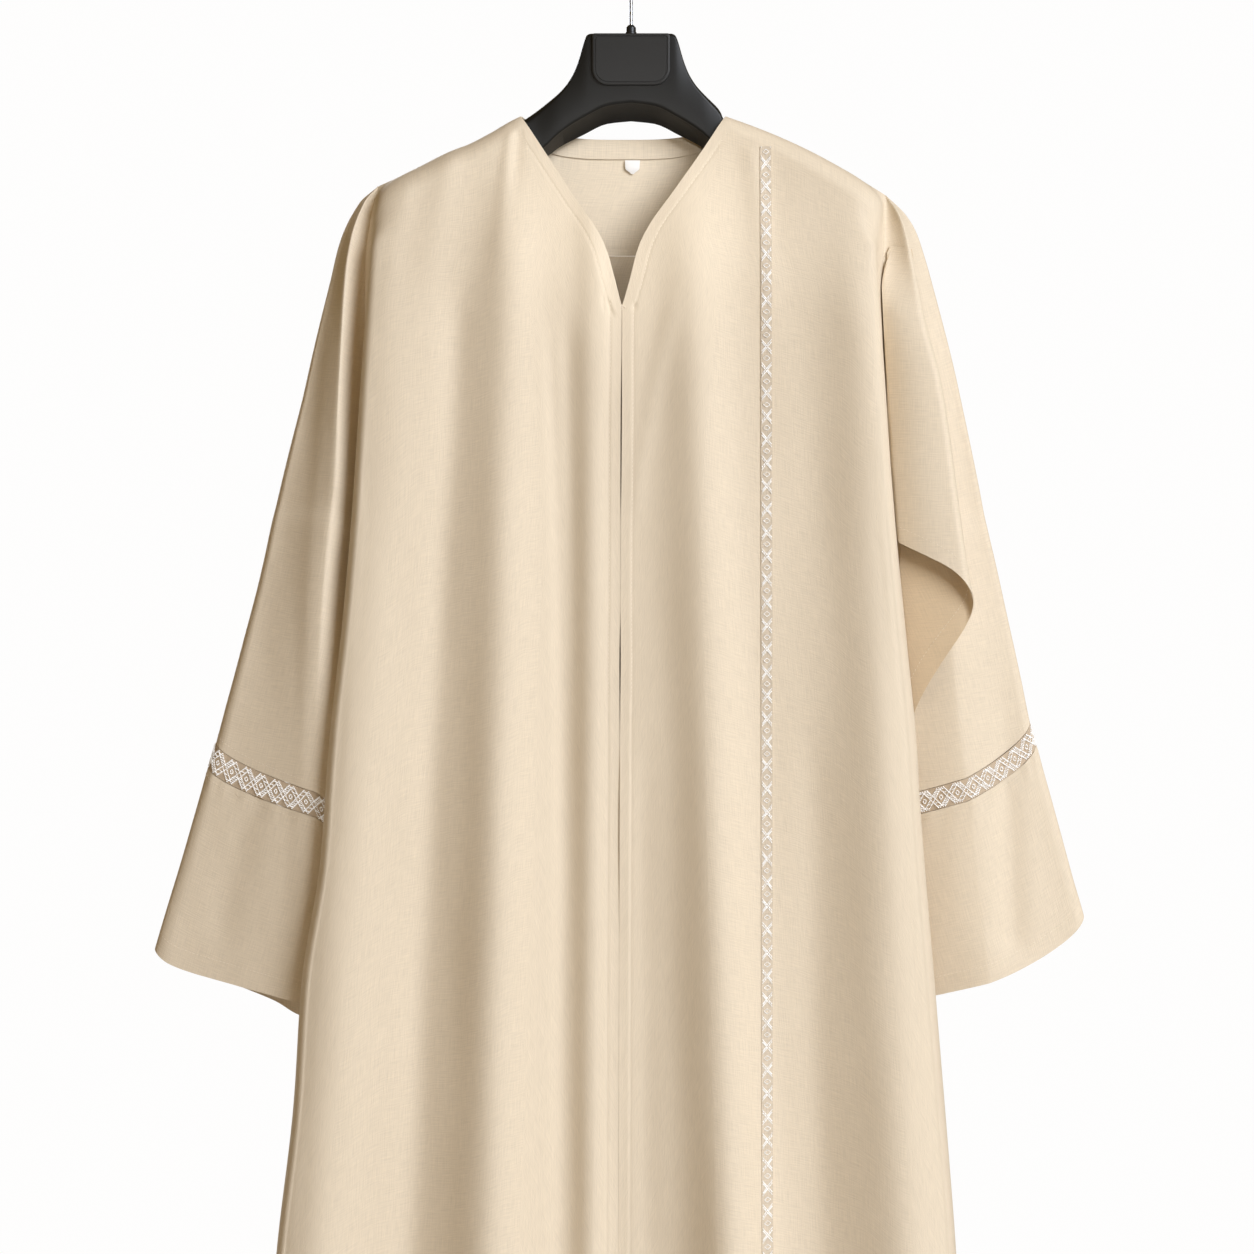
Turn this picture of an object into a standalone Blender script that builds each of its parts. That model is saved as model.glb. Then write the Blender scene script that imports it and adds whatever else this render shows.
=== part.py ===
"""Abaya cloak hanging on a wide-shouldered plastic hanger.

Metres, +Z up. The origin is the inside top of the hanger's hook, where it rests on a rail.
-Y is the front and -X is the wearer's right. The tables below are in millimetres.
Every cloth panel is a grid: columns run across it, rows run from its top edge to its bottom edge,
and each point's place is worked out from horizontal sections of the hanging garment.
"""
import math

import bpy
import numpy as np

MM = 0.001
RIGHT, LEFT = -1, 1

# Levels at which columns meet the armhole seam, from the shoulder point to the armpit. The body
# takes some of the sleeve's levels, and the skirt starts where the yoke ends.
SLEEVE_LEVELS = np.array([0, 0.05, 0.12, 0.2, 0.3, 0.4, 0.5, 0.6, 0.69, 0.77, 0.84, 0.9, 0.95, 1])
BODY_LEVELS = SLEEVE_LEVELS[[0, 2, 4, 6, 8, 10, 11, 12, 13]]
SKIRT_LEVELS = [4, 6, 8, 10, 11, 12, 13]

# Cloth and seams
WALL = 1.6
SEAM_GAP = 0.4
BAND_GAP = 0.8
HEM_Z = -1565.0

# Neck and shoulders
NECK_Z = -147.5
V_POINT_Z = -311.0
BACK_NECK_Z = -163.5
BACK_NECK_CENTRE = -6.0
BACK_NECK_HALF = 86.0
YOKE_SEAM_Z = -262.0
NECK_X = {RIGHT: 94.0, LEFT: 80.5}
SHOULDER_X = {RIGHT: 214.0, LEFT: 215.9}
SHOULDER_Z = {RIGHT: -206.4, LEFT: -214.0}
ARMPIT_Z = {RIGHT: -490.0, LEFT: -497.0}

# Shares of a panel's columns that start at the neckline and at the shoulder seam
NECK_SHARE = 0.22
SHOULDER_SHARE = 0.66
BACK_NECK_SHARE = 0.4
# Share of a section that lies across the panel, and across plus the turn at its edge
ACROSS_SHARE = 0.74
TURN_SHARE = 0.88


def columns(names, rows):
    """A table with named columns."""
    return dict(zip(names.split(), np.array(rows, float).T))


def read(table, name, at, key="z"):
    """Smooth reading of one column that never overshoots its rows."""
    order = np.argsort(table[key])
    x, y = table[key][order], table[name][order]
    step = np.diff(x)
    slope = np.diff(y) / step
    tangent = np.zeros_like(y)
    tangent[0], tangent[-1] = slope[0], slope[-1]
    same = slope[:-1] * slope[1:] > 0
    both = slope[:-1] + slope[1:]
    tangent[1:-1][same] = 2 * (slope[:-1] * slope[1:])[same] / both[same]
    at = np.clip(np.asarray(at, float), x[0], x[-1])
    i = np.clip(np.searchsorted(x, at) - 1, 0, len(x) - 2)
    t = (at - x[i]) / step[i]
    return ((1 + 2 * t) * (1 - t) ** 2 * y[i] + t * (1 - t) ** 2 * step[i] * tangent[i]
            + t * t * (3 - 2 * t) * y[i + 1] + t * t * (t - 1) * step[i] * tangent[i + 1])


def smooth(t):
    """0 to 1 with level ends."""
    t = np.clip(t, 0.0, 1.0)
    return t * t * (3 - 2 * t)


def mix(a, b, t):
    return a + (b - a) * t


def quarter(t):
    """Quarter of a circle: rises steeply from 0 and levels off at 1."""
    return np.sqrt(np.clip(1 - (1 - np.clip(t, 0, 1)) ** 2, 0, 1))


# Neckline and front edge: distance from x = 0 towards the wearer's own side
NECKLINE = {
    RIGHT: columns("z out", [
        (-147.5, 94.0), (-182.7, 70.9), (-227.2, 42.1), (-246.1, 29.4),
        (-262.9, 21.0), (-282.9, 15.1), (-311.0, 8.0)]),
    LEFT: columns("z out", [
        (-147.5, 80.5), (-179.0, 60.0), (-214.6, 35.3), (-246.1, 13.4),
        (-262.9, 5.8), (-288.8, -0.9), (-311.0, -7.3)]),
}
# The open front: its middle line and how far its two edges stand apart
FRONT_OPENING = columns("z middle apart", [
    (-311, -7.6, 0.5), (-345, -7.8, 1.0), (-400, -8.2, 2.2), (-460, -8.5, 1.8), (-500, -8.7, 0.6),
    (-560, -9.0, 0.6), (-610, -9.2, 2.2), (-640, -9.3, 1.6), (-690, -9.5, 0.5), (-1565, -12.0, 0.5)])

# Shoulder seam, seen from the front
SHOULDER_LINE = {
    RIGHT: columns("out z", [
        (94, -147.5), (103, -152.0), (117.3, -160.5), (138.6, -171.6), (152.2, -176.7),
        (184.5, -192.8), (214.0, -206.4)]),
    LEFT: columns("out z", [
        (80.5, -147.5), (104, -156.0), (125, -164.5), (152, -177.0), (184, -194.5), (215.9, -214.0)]),
}
# Half depth of the cloth where it rides on the hanger's arms
RIDGE_DEPTH = columns("out front back", [
    (0, 14.0, 22.0), (60, 14.5, 22.0), (80, 15.0, 21.5), (94, 16.0, 19.5), (110, 18.0, 18.5),
    (150, 21.5, 21.5), (216, 27.0, 27.0)])

# Front fold edge of the body, and the armhole seam, which goes on below as the side seam
BODY_SIDE = {
    RIGHT: columns("z edge seam", [
        (-206.4, 214.0, 214.0), (-222, 215.5, 218.5), (-240, 217.0, 222.0), (-272, 220.0, 225.5),
        (-338, 224.5, 226.0), (-389, 228.0, 223.0), (-440, 231.2, 215.0), (-490, 234.8, 206.0),
        (-575, 242.0, 212.0), (-676, 253.0, 223.0), (-778, 260.5, 230.0), (-879, 276.0, 245.0),
        (-980, 282.4, 252.0), (-1105, 296.7, 266.0), (-1565, 330.0, 300.0)]),
    LEFT: columns("z edge seam", [
        (-214.0, 215.9, 215.9), (-232, 211.0, 214.5), (-268, 207.0, 214.0), (-320, 209.5, 215.0),
        (-366, 212.4, 214.0), (-433, 216.6, 207.0), (-497, 221.7, 194.0), (-592, 230.9, 201.0),
        (-682, 239.4, 209.0), (-727, 241.9, 212.0), (-896, 255.4, 225.0), (-1030, 266.3, 236.0),
        (-1098, 271.4, 242.0), (-1565, 296.0, 267.0)]),
}
# Depth of the armhole seam, by the drop below the shoulder point
ARMHOLE_DEPTH = columns("drop front back", [
    (0, 0, 0), (12, -2, 6), (34, -3, 14), (72, -4, 18), (180, -3, 18), (235, 0, 16),
    (268, 3, 13), (283, 8, 8), (1400, 8, 8)])

ARMPIT_Y = 8.0

# Mean depth of the hanging front and back
BODY_DEPTH = columns("z front back", [
    (-147, 16, 14), (-200, 24, 20), (-300, 30, 30), (-600, 36, 38), (-1100, 40, 42), (-1565, 42, 44)])
FOLD_TOP_Z, FOLD_LOW_Z = -300.0, -1105.0
FOLD_FADE = 140.0
# Ridges of the front, from the wearer's right to the left: where each stands, its half width
# and how far it stands out, at two levels
FRONT_FOLDS = columns("x_top x_low wide_top wide_low out_top out_low", [
    (-199, -262, 40, 40, 7, 24),
    (-103, -117, 24, 36, 10, 32),
    (-32, -34, 12, 15, 4, 9),
    (52, 82, 24, 32, 8, 29),
    (194, 229, 30, 46, 12, 31)])
BACK_FOLDS = columns("x_top x_low wide_top wide_low out_top out_low", [
    (-190, -250, 34, 40, 4, 22),
    (-105, -140, 24, 34, 5, 26),
    (92, 118, 26, 34, 5, 24),
    (185, 226, 34, 42, 4, 22)])
# The box pleat of the back: half width, height and flank at the yoke and at the hem
PLEAT = {"centre": -7.0, "half_top": 22.0, "half_low": 46.0, "out_top": 3.5, "out_low": 20.0,
         "flank_top": 4.0, "flank_low": 24.0}

# Sleeves: silhouette edge, the ridge beside the armhole valley, inner edge behind the body
SLEEVE = {
    RIGHT: columns("z outer ridge inner", [
        (-206.4, 214.0, 214.0, 214.0), (-220, 230.4, 225.0, 219.0), (-252, 246.5, 236.0, 224.0),
        (-286, 255.0, 240.5, 226.5), (-354, 272.0, 244.0, 226.0), (-388, 279.7, 245.5, 223.5),
        (-456, 296.7, 248.0, 212.0), (-490, 304.5, 251.5, 206.5), (-524, 312.0, 255.0, 216.0),
        (-592, 329.0, 262.0, 226.5), (-660, 346.8, 273.0, 237.5), (-728, 367.2, 278.5, 243.5),
        (-796, 387.6, 282.0, 248.0), (-855, 404.6, 286.5, 257.0), (-925, 424.0, 291.5, 264.5)]),
    LEFT: columns("z outer ridge inner", [
        (-214.0, 215.9, 215.9, 215.9), (-231, 233.8, 226.0, 215.5), (-245, 242.3, 231.0, 214.8),
        (-265, 249.1, 235.0, 214.5), (-292, 256.7, 239.0, 215.0), (-354, 272.9, 247.0, 214.5),
        (-388, 280.5, 250.0, 212.5), (-456, 295.0, 256.0, 203.5), (-497, 302.5, 260.0, 194.5),
        (-530, 310.0, 264.0, 204.0), (-592, 323.9, 270.0, 215.0), (-660, 338.3, 276.0, 222.5),
        (-728, 357.0, 284.0, 226.5), (-796, 375.7, 292.0, 232.0), (-827, 385.0, 296.0, 234.5),
        (-905, 403.0, 304.0, 240.5)]),
}
SLEEVE_DEPTH = {
    RIGHT: columns("z middle front back", [
        (-206.4, 0, 0, 0), (-230, 5, 12, 12), (-286, 7, 21, 20), (-388, 8, 30, 22), (-490, 8, 35, 20),
        (-592, 9, 37, 18), (-728, 10, 35, 18), (-925, 12, 32, 20)]),
    LEFT: columns("z middle front back", [
        (-214.0, 0, 0, 0), (-236, 5, 13, 14), (-286, 7, 16, 20), (-388, 8, 17, 22), (-497, 9, 17, 20),
        (-592, 9, 17, 18), (-728, 10, 20, 18), (-905, 12, 24, 20)]),
}
RIDGE_SHARE = 0.74
INNER_HALF = 3.6
# Edges of the braid band and of the cuff: height at the outer edge and fall to the inner edge
TRIM_TOP = {RIGHT: (-679.0, 55.0), LEFT: (-662.0, 64.0)}
TRIM_LOW = {RIGHT: (-700.0, 55.0), LEFT: (-681.0, 64.0)}
CUFF_HEM = {
    RIGHT: columns("share z", [(0, -855), (0.17, -867.7), (0.49, -884), (0.65, -893), (0.79, -902),
                               (0.9, -913), (1, -918)]),
    LEFT: columns("share z", [(0, -827), (0.265, -848.2), (0.584, -872), (0.873, -890.7), (1, -899)]),
}

# The folded flap before the left sleeve: its right fold, and its hem from the front layer's
# inner corner round the fold to the back layer's inner corner
FLAP_TOP_Z = -258.0
FLAP_FOLD = columns("z out", [
    (-258, 237.0), (-276, 240.0), (-319, 247.0), (-379, 261.5), (-519, 280.5), (-545, 284.5),
    (-560, 287.2), (-575, 287.4), (-690, 287.4)])
FLAP_HEM = columns("share z", [
    (0, -497.7), (0.12, -511), (0.25, -522), (0.37, -533), (0.44, -545), (0.5, -562),
    (0.56, -577), (0.62, -592), (0.72, -614), (0.85, -644), (1, -690)])
FLAP_ROOT = columns("z out", [
    (-258, 229.5), (-296, 228.0), (-367, 223.5), (-423, 222.0), (-499, 222.3), (-540, 226.5),
    (-690, 240.0)])
FLAP_LIFT_TOP, FLAP_LIFT_LOW, FLAP_LIFT_OVER = 1.6, 0.6, 70.0
FLAP_TURN, FLAP_SINK = 0.16, 0.78
FLAP_DEPTH = columns("z front back", [
    (-258, -17, -12), (-300, -27, -16), (-400, -38, -23), (-500, -42, -27), (-690, -42, -27)])
FLAP_TILT_FRONT, FLAP_TILT_BACK, FLAP_TILT_OVER, FLAP_TILT_CURVE = 8.0, 10.0, 200.0, 1.5
# Its top slopes down to the fold; the fold's half width at the top and how much it grows below;
# how it tucks under behind the body's edge
FLAP_TOP_FALL, FLAP_ROW_CURVE = 6.0, 1.1
FLAP_TURN_TOP, FLAP_TURN_GROWTH, FLAP_GROW_OVER = 2.0, 5.0, 60.0
FLAP_CLEAR, FLAP_ROOT_IN, FLAP_BACK_CLEAR = 2.2, 3.0, 1.6
FLAP_TUCK_IN, FLAP_TUCK_DEPTH, FLAP_TUCK_OVER = 1.5, 9.0, 40.0


# How a body section closes: the panel's rounded edge, its inset on the back and its way to the seam
EDGE_TURN, EDGE_TURN_DEPTH, EDGE_TURN_FADE = 9.0, 0.32, 60.0
BACK_EDGE_INSET = 2.5
RETURN_CURVE = 1.25
BACK_NECK_CURVE = 3.5
FOLD_REACH = (-0.2, 1.58)

# How a sleeve section runs: the front rises from the outer edge to the ridge and sinks to the
# armhole valley; the back is a lens, deepest near the outer edge
RISE_ROUND, RISE_ROUND_SHARE, RISE_CURVE, RISE_SPREAD = 0.24, 0.12, 1.5, 1.4
CREST_ROUND = 0.06
VALLEY_CURVE = 1.4
SHELF_TOP_Z, SHELF_BLEND, SHELF_END, SHELF_FALL = -560.0, 220.0, 0.2, 0.55
LENS_ROUND, LENS_ROUND_SHARE, LENS_DEPTH, LENS_SPREAD = 0.35, 0.06, 4.6, 1.3
INNER_ROUND_SHARE = 0.08
SLEEVE_BLEND = 80.0
SLEEVE_GAP_LOW = 1.0

# Grid sizes
NECK_COLUMNS, SHOULDER_COLUMNS = 7, 7
PANEL_DROPS = (0, 1.3, 5, 11, 19, 30, 48, 76, 112, 160, 220, 290, 370, 460, 560, 680, 820, 980, 1180,
               1418)
YOKE_NECK_COLUMNS = 6
YOKE_DROPS = (0, 1.3, 5, 11, 19, 30, 48, 74, 110)
SKIRT_COLUMNS, SKIRT_ROWS = 11, 14
SLEEVE_ROWS, CUFF_ROWS = 13, 4
FLAP_COLUMNS, FLAP_ROWS = 20, 9

# Small pieces
TRIM_X, TRIM_ROWS, TRIM_LIFT, TRIM_WALL, TRIM_START = (108.7, 118.4), 44, 0.6, 1.0, 14.0
FACING_X, FACING_COLUMNS, FACING_FALL = (-72.0, 60.0), 14, 17.0
FACING_LIFT, FACING_WALL = 0.5, 1.0
LABEL_X, LABEL_TOP_Z, LABEL_FALL, LABEL_WALL = (-5.1, 7.7), -183.0, 10.0, 1.2

# Hanger
HANGER_TOP_GAP, HANGER_END = 0.7, 198.0
HANGER_HALF = columns("out half", [
    (0, 10.5), (60, 9.0), (80, 7.5), (92, 8.5), (110, 13.5), (150, 18), (198, 23)])
HANGER_END_HALF, HANGER_END_ROUND = 0.7, 20.0
HANGER_CORNER, HANGER_FOOT, CREST_OUT, CREST_BLEND = 4.0, 3.0, 55.0, 40.0
HANGER_TOP = columns("out left right", [
    (0, -78.0, -78.0), (20, -78.0, -78.0), (34, -78.2, -78.2), (37.2, -79.4, -79.4),
    (39, -82.5, -82.5), (40.8, -88.0, -88.0), (42.5, -94.0, -94.0), (44.2, -99.8, -99.8),
    (46.2, -105.5, -105.5), (48.7, -111.5, -111.5), (52, -117.4, -117.4), (56.2, -123.3, -123.3),
    (61.7, -129.2, -129.0), (68, -135.2, -134.2), (73.5, -140.5, -138.4), (76.5, -145.0, -140.7),
    (78.2, -149.2, -142.0), (79.5, -150.1, -142.9), (86, -150.2, -147.4), (91, -150.3, -150.3),
    (94, -150.4, -150.4), (110, -158, -158), (130, -168, -168), (150, -176, -176), (170, -186, -186),
    (188, -195, -195), (198, -200, -200)])
HANGER_LOW = columns("out z slant", [
    (0, -137.5, 12.6), (20, -140.2, 12.2), (40, -149.8, 11.8), (60, -162.5, 9.5), (73, -174.5, 7),
    (94, -190.0, 2), (120, -200.0, 0), (160, -214.0, 0), (198, -228.0, 0)])
ARC_STEPS = 3
PLATE_X, PLATE_TOP_Z, PLATE_LOW_Z = (-33.0, 33.0), -79.0, -122.9
PLATE_CORNER, PLATE_THICK, PLATE_STEPS = 13.6, 1.4, 6
COLLAR_RADIUS, COLLAR_LOW_Z, COLLAR_TOP_Z = 4.7, -77.6, -69.5
WIRE, WIRE_SIDES, HOOK_RADIUS, HOOK_STEPS = 3.0, 8, 22.0, 22
HOOK_TURN = math.radians(290)


def ridge_z(side, out):
    """Height of the shoulder seam at a distance from x = 0; level across the neck."""
    line = SHOULDER_LINE[side]
    return np.where(out <= NECK_X[side], NECK_Z, read(line, "z", out, key="out"))


def folds(table, x, z):
    """Sum of the ridges of a fold table at x, z."""
    t = np.clip((z - FOLD_TOP_Z) / (FOLD_LOW_Z - FOLD_TOP_Z), *FOLD_REACH)
    total = np.zeros(np.broadcast(x, z).shape)
    for row in range(len(table["x_top"])):
        centre = mix(table["x_top"][row], table["x_low"][row], t)
        wide = mix(table["wide_top"][row], table["wide_low"][row], t)
        out = mix(table["out_top"][row], table["out_low"][row], t)
        total += out * np.exp(-((x - centre) / wide) ** 2)
    return total


def pleat(x, z):
    """Height of the centre-back box pleat, which starts at the yoke seam."""
    t = np.clip((YOKE_SEAM_Z - z) / (YOKE_SEAM_Z - HEM_Z), 0, 1)
    half = mix(PLEAT["half_top"], PLEAT["half_low"], t)
    out = mix(PLEAT["out_top"], PLEAT["out_low"], t)
    flank = mix(PLEAT["flank_top"], PLEAT["flank_low"], t)
    shape = smooth((half + flank - np.abs(x - PLEAT["centre"])) / flank)
    return np.where(z > YOKE_SEAM_Z, 0.0, out * shape)


def body_y(x, z, face):
    """Depth of the front (face -1) or back (face 1) of the body at x, z."""
    out = np.abs(x)
    side_z = np.where(x < 0, ridge_z(RIGHT, out), ridge_z(LEFT, out))
    drop = np.maximum(side_z - z, 0.0)
    name = "front" if face < 0 else "back"
    radius = read(RIDGE_DEPTH, name, out, key="out")
    hanging = np.maximum(read(BODY_DEPTH, name, z) - radius, 0.0)
    if face < 0:
        hanging = hanging + folds(FRONT_FOLDS, x, z)
    else:
        hanging = hanging + folds(BACK_FOLDS, x, z) + pleat(x, z)
    return face * quarter(drop / radius) * (radius + hanging * smooth(drop / FOLD_FADE))


def armhole_y(side, z, face):
    name = "front" if face < 0 else "back"
    return read(ARMHOLE_DEPTH, name, np.maximum(SHOULDER_Z[side] - z, 0.0), key="drop")


def seam_out(side, z):
    """Where the section of a body panel ends: the shoulder seam, then the armhole and side seams."""
    line = SHOULDER_LINE[side]
    backwards = {"z": line["z"], "out": line["out"]}
    return np.where(z > SHOULDER_Z[side], read(backwards, "out", z), read(BODY_SIDE[side], "seam", z))


def across(side, share, z, face, start):
    """Point of a body section: from its start across the panel, round its edge, back to the seam."""
    below = smooth((SHOULDER_Z[side] - z) / EDGE_TURN_FADE)
    first = 1 - (1 - ACROSS_SHARE) * below
    second = 1 - (1 - TURN_SHARE) * below
    seam = seam_out(side, z)
    inset = BACK_EDGE_INSET * below if face > 0 else 0.0
    edge = np.where(z > SHOULDER_Z[side], seam, read(BODY_SIDE[side], "edge", z) - inset)
    turn = EDGE_TURN * below
    flat_end = edge - turn
    seam_y = np.where(z > SHOULDER_Z[side], 0.0, armhole_y(side, z, face))
    edge_y = body_y(side * flat_end, z, face)
    turn_y = EDGE_TURN_DEPTH * (seam_y - edge_y)
    t_flat = np.clip(share / first, 0, 1)
    t_turn = np.clip((share - first) / np.maximum(second - first, 1e-6), 0, 1)
    t_back = np.clip((share - second) / np.maximum(1 - second, 1e-6), 0, 1)
    out = mix(start, flat_end, t_flat)
    y = body_y(side * out, z, face)
    angle = t_turn * math.pi / 2
    turning, returning = share > first, share > second
    out = np.where(turning, flat_end + turn * np.sin(angle), out)
    y = np.where(turning, edge_y + turn_y * (1 - np.cos(angle)), y)
    out = np.where(returning, mix(edge, seam, t_back ** RETURN_CURVE), out)
    y = np.where(returning, mix(edge_y + turn_y, seam_y, t_back), y)
    return out, y


def front_start(side, z):
    middle = side * read(FRONT_OPENING, "middle", z)
    edge = middle + read(FRONT_OPENING, "apart", z) / 2
    return np.where(z > V_POINT_Z, read(NECKLINE[side], "out", z), edge)


def top_z(side, u):
    """Height of a body panel's top edge at column u: neckline, shoulder seam, armhole."""
    along = (u - NECK_SHARE) / (SHOULDER_SHARE - NECK_SHARE)
    shoulder_out = mix(NECK_X[side], SHOULDER_X[side], along)
    on_neck = mix(V_POINT_Z, NECK_Z, u / NECK_SHARE)
    on_shoulder = ridge_z(side, np.clip(shoulder_out, NECK_X[side] + 1e-6, SHOULDER_X[side]))
    on_armhole = mix(SHOULDER_Z[side], ARMPIT_Z[side], (u - SHOULDER_SHARE) / (1 - SHOULDER_SHARE))
    return np.where(u < NECK_SHARE, on_neck, np.where(u < SHOULDER_SHARE, on_shoulder, on_armhole))


def last_column(side, z):
    """Column u on which the section at z ends."""
    along = (seam_out(side, z) - NECK_X[side]) / (SHOULDER_X[side] - NECK_X[side])
    down = (SHOULDER_Z[side] - z) / (SHOULDER_Z[side] - ARMPIT_Z[side])
    on_shoulder = mix(NECK_SHARE, SHOULDER_SHARE, along)
    on_armhole = mix(SHOULDER_SHARE, 1.0, down)
    return np.where(z > SHOULDER_Z[side], on_shoulder, np.clip(on_armhole, 0, 1))


def front_grid(side, shares, drops):
    """Points of a front panel, from the front edge to the side seam."""
    u, v = np.meshgrid(shares, drops)
    z = mix(top_z(side, u), HEM_Z, v)
    first = np.clip(NECK_SHARE * (z - V_POINT_Z) / (NECK_Z - V_POINT_Z), 0, NECK_SHARE)
    span = np.maximum(last_column(side, z) - first, 1e-6)
    share = np.clip((u - first) / span, 0, 1)
    out, y = across(side, share, z, -1, front_start(side, z))
    return np.stack([side * out, y - SEAM_GAP / 2, z], axis=-1)


def back_neck_z(x):
    rise = np.clip(np.abs(x - BACK_NECK_CENTRE) / BACK_NECK_HALF, 0, 1) ** BACK_NECK_CURVE
    return mix(BACK_NECK_Z, NECK_Z, rise)


def yoke_half(side, shares, drops):
    """Points of half the yoke, from the centre back to the armhole."""
    u, v = np.meshgrid(shares, drops)
    middle = side * BACK_NECK_CENTRE
    neck_out = mix(middle, NECK_X[side], u / BACK_NECK_SHARE)
    along = (u - BACK_NECK_SHARE) / (1 - BACK_NECK_SHARE)
    shoulder_out = mix(NECK_X[side], SHOULDER_X[side], along)
    on_shoulder = ridge_z(side, np.clip(shoulder_out, NECK_X[side] + 1e-6, SHOULDER_X[side]))
    top = np.where(u < BACK_NECK_SHARE, back_neck_z(side * neck_out), on_shoulder)
    z = mix(top, YOKE_SEAM_Z + SEAM_GAP / 2, v)
    reach = (seam_out(side, z) - NECK_X[side]) / (SHOULDER_X[side] - NECK_X[side])
    reach = mix(BACK_NECK_SHARE, 1.0, reach)
    last = np.where(z > SHOULDER_Z[side], np.maximum(reach, BACK_NECK_SHARE), 1.0)
    out, y = across(side, np.clip(u / last, 0, 1), z, 1, np.full_like(z, middle))
    return np.stack([side * out, y + SEAM_GAP / 2, z], axis=-1)


def skirt_half(side, shares, drops):
    """Points of half the back below the yoke, from the centre back to the armhole and side seam."""
    u, v = np.meshgrid(shares, drops)
    seam_z = YOKE_SEAM_Z - SEAM_GAP / 2
    armhole = (u - SHOULDER_SHARE) / (1 - SHOULDER_SHARE)
    top = np.where(u < SHOULDER_SHARE, seam_z, mix(seam_z, ARMPIT_Z[side], armhole))
    z = mix(top, HEM_Z, v)
    last = mix(SHOULDER_SHARE, 1.0, np.clip((seam_z - z) / (seam_z - ARMPIT_Z[side]), 0, 1))
    start = np.full_like(z, side * BACK_NECK_CENTRE)
    out, y = across(side, np.clip(u / last, 0, 1), z, 1, start)
    return np.stack([side * out, y + SEAM_GAP / 2, z], axis=-1)


def both_halves(half, shares, drops):
    """A back panel from the wearer's left to the right."""
    left = half(LEFT, shares(LEFT), drops)
    right = half(RIGHT, shares(RIGHT), drops)
    return np.concatenate([left[:, ::-1], right[:, 1:]], axis=1)


def sleeve_point(side, share, z, face):
    """Point of a sleeve section: share runs from the outer edge to the inner edge."""
    outer, ridge, inner = (read(SLEEVE[side], name, z) for name in ("outer", "ridge", "inner"))
    middle, front, back = (read(SLEEVE_DEPTH[side], name, z) for name in ("middle", "front", "back"))
    inside = z < ARMPIT_Z[side]
    seam_y = np.where(face < 0, armhole_y(side, z, -1), armhole_y(side, z, 1))
    end_y = np.where(inside, mix(ARMPIT_Y, middle, smooth((ARMPIT_Z[side] - z) / SLEEVE_BLEND)), seam_y)
    ridge_at = (outer - ridge) / np.maximum(outer - inner, 1e-6)
    before = ridge_at * np.clip(share / RIDGE_SHARE, 0, 1) ** RISE_SPREAD
    beyond = mix(ridge_at, 1.0, np.clip((share - RIDGE_SHARE) / (1 - RIDGE_SHARE), 0, 1))
    at = np.where(share < RIDGE_SHARE, before, beyond)
    up_ridge = np.clip(at / np.maximum(ridge_at, 1e-6), 0, 1)
    rise_before = mix(up_ridge ** RISE_CURVE, quarter(up_ridge / RISE_ROUND_SHARE), RISE_ROUND)
    left_over = np.clip((1 - at) / np.maximum(1 - ridge_at, 1e-6), 0, 1)
    lower = smooth((SHELF_TOP_Z - z) / SHELF_BLEND)
    rise_beyond = mix(left_over ** VALLEY_CURVE, smooth((left_over - SHELF_END) / SHELF_FALL), lower)
    rise = np.where(share < RIDGE_SHARE, rise_before, rise_beyond)
    rounded = 1 + CREST_ROUND - np.hypot(1 - rise, CREST_ROUND)
    rise = rounded - (1 + CREST_ROUND - math.hypot(1, CREST_ROUND)) * (1 - rise)
    behind = share ** LENS_SPREAD
    lens = LENS_ROUND * quarter(behind / LENS_ROUND_SHARE) * (1 - behind) ** 1.5
    lens = lens + LENS_DEPTH * behind * (1 - behind) ** 2
    at = np.where(face < 0, at, behind)
    base = mix(middle, end_y, at ** 2)
    closed = smooth((ARMPIT_Z[side] + 15 - z) / 20)
    inner_round = INNER_HALF * closed * quarter((1 - at) / INNER_ROUND_SHARE)
    y = np.where(face < 0, base - front * rise - inner_round, base + back * lens + inner_round)
    return mix(outer, inner, at), y


def sleeve_grid(side, rows, top_of, low_of, power=1.0):
    """Points of a stretch of sleeve, a closed ring of columns: outer edge, front, inner edge, back."""
    ring = np.concatenate([SLEEVE_LEVELS, SLEEVE_LEVELS[-2:0:-1]])
    near, v = np.meshgrid(ring, np.linspace(0, 1, rows + 1))
    z = mix(top_of(near), low_of(near), v ** power)
    reach = np.clip((SHOULDER_Z[side] - z) / (SHOULDER_Z[side] - ARMPIT_Z[side]), 1e-6, 1)
    share = np.clip(near / reach, 0, 1)
    share = np.where(near == 0, 0.0, share)
    face = np.broadcast_to(np.where(np.arange(len(ring)) < len(SLEEVE_LEVELS), -1, 1), z.shape)
    out, y = sleeve_point(side, share, z, face)
    gap = mix(SEAM_GAP, SLEEVE_GAP_LOW, reach)
    return np.stack([side * (out + gap), y, z], axis=-1)


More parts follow.
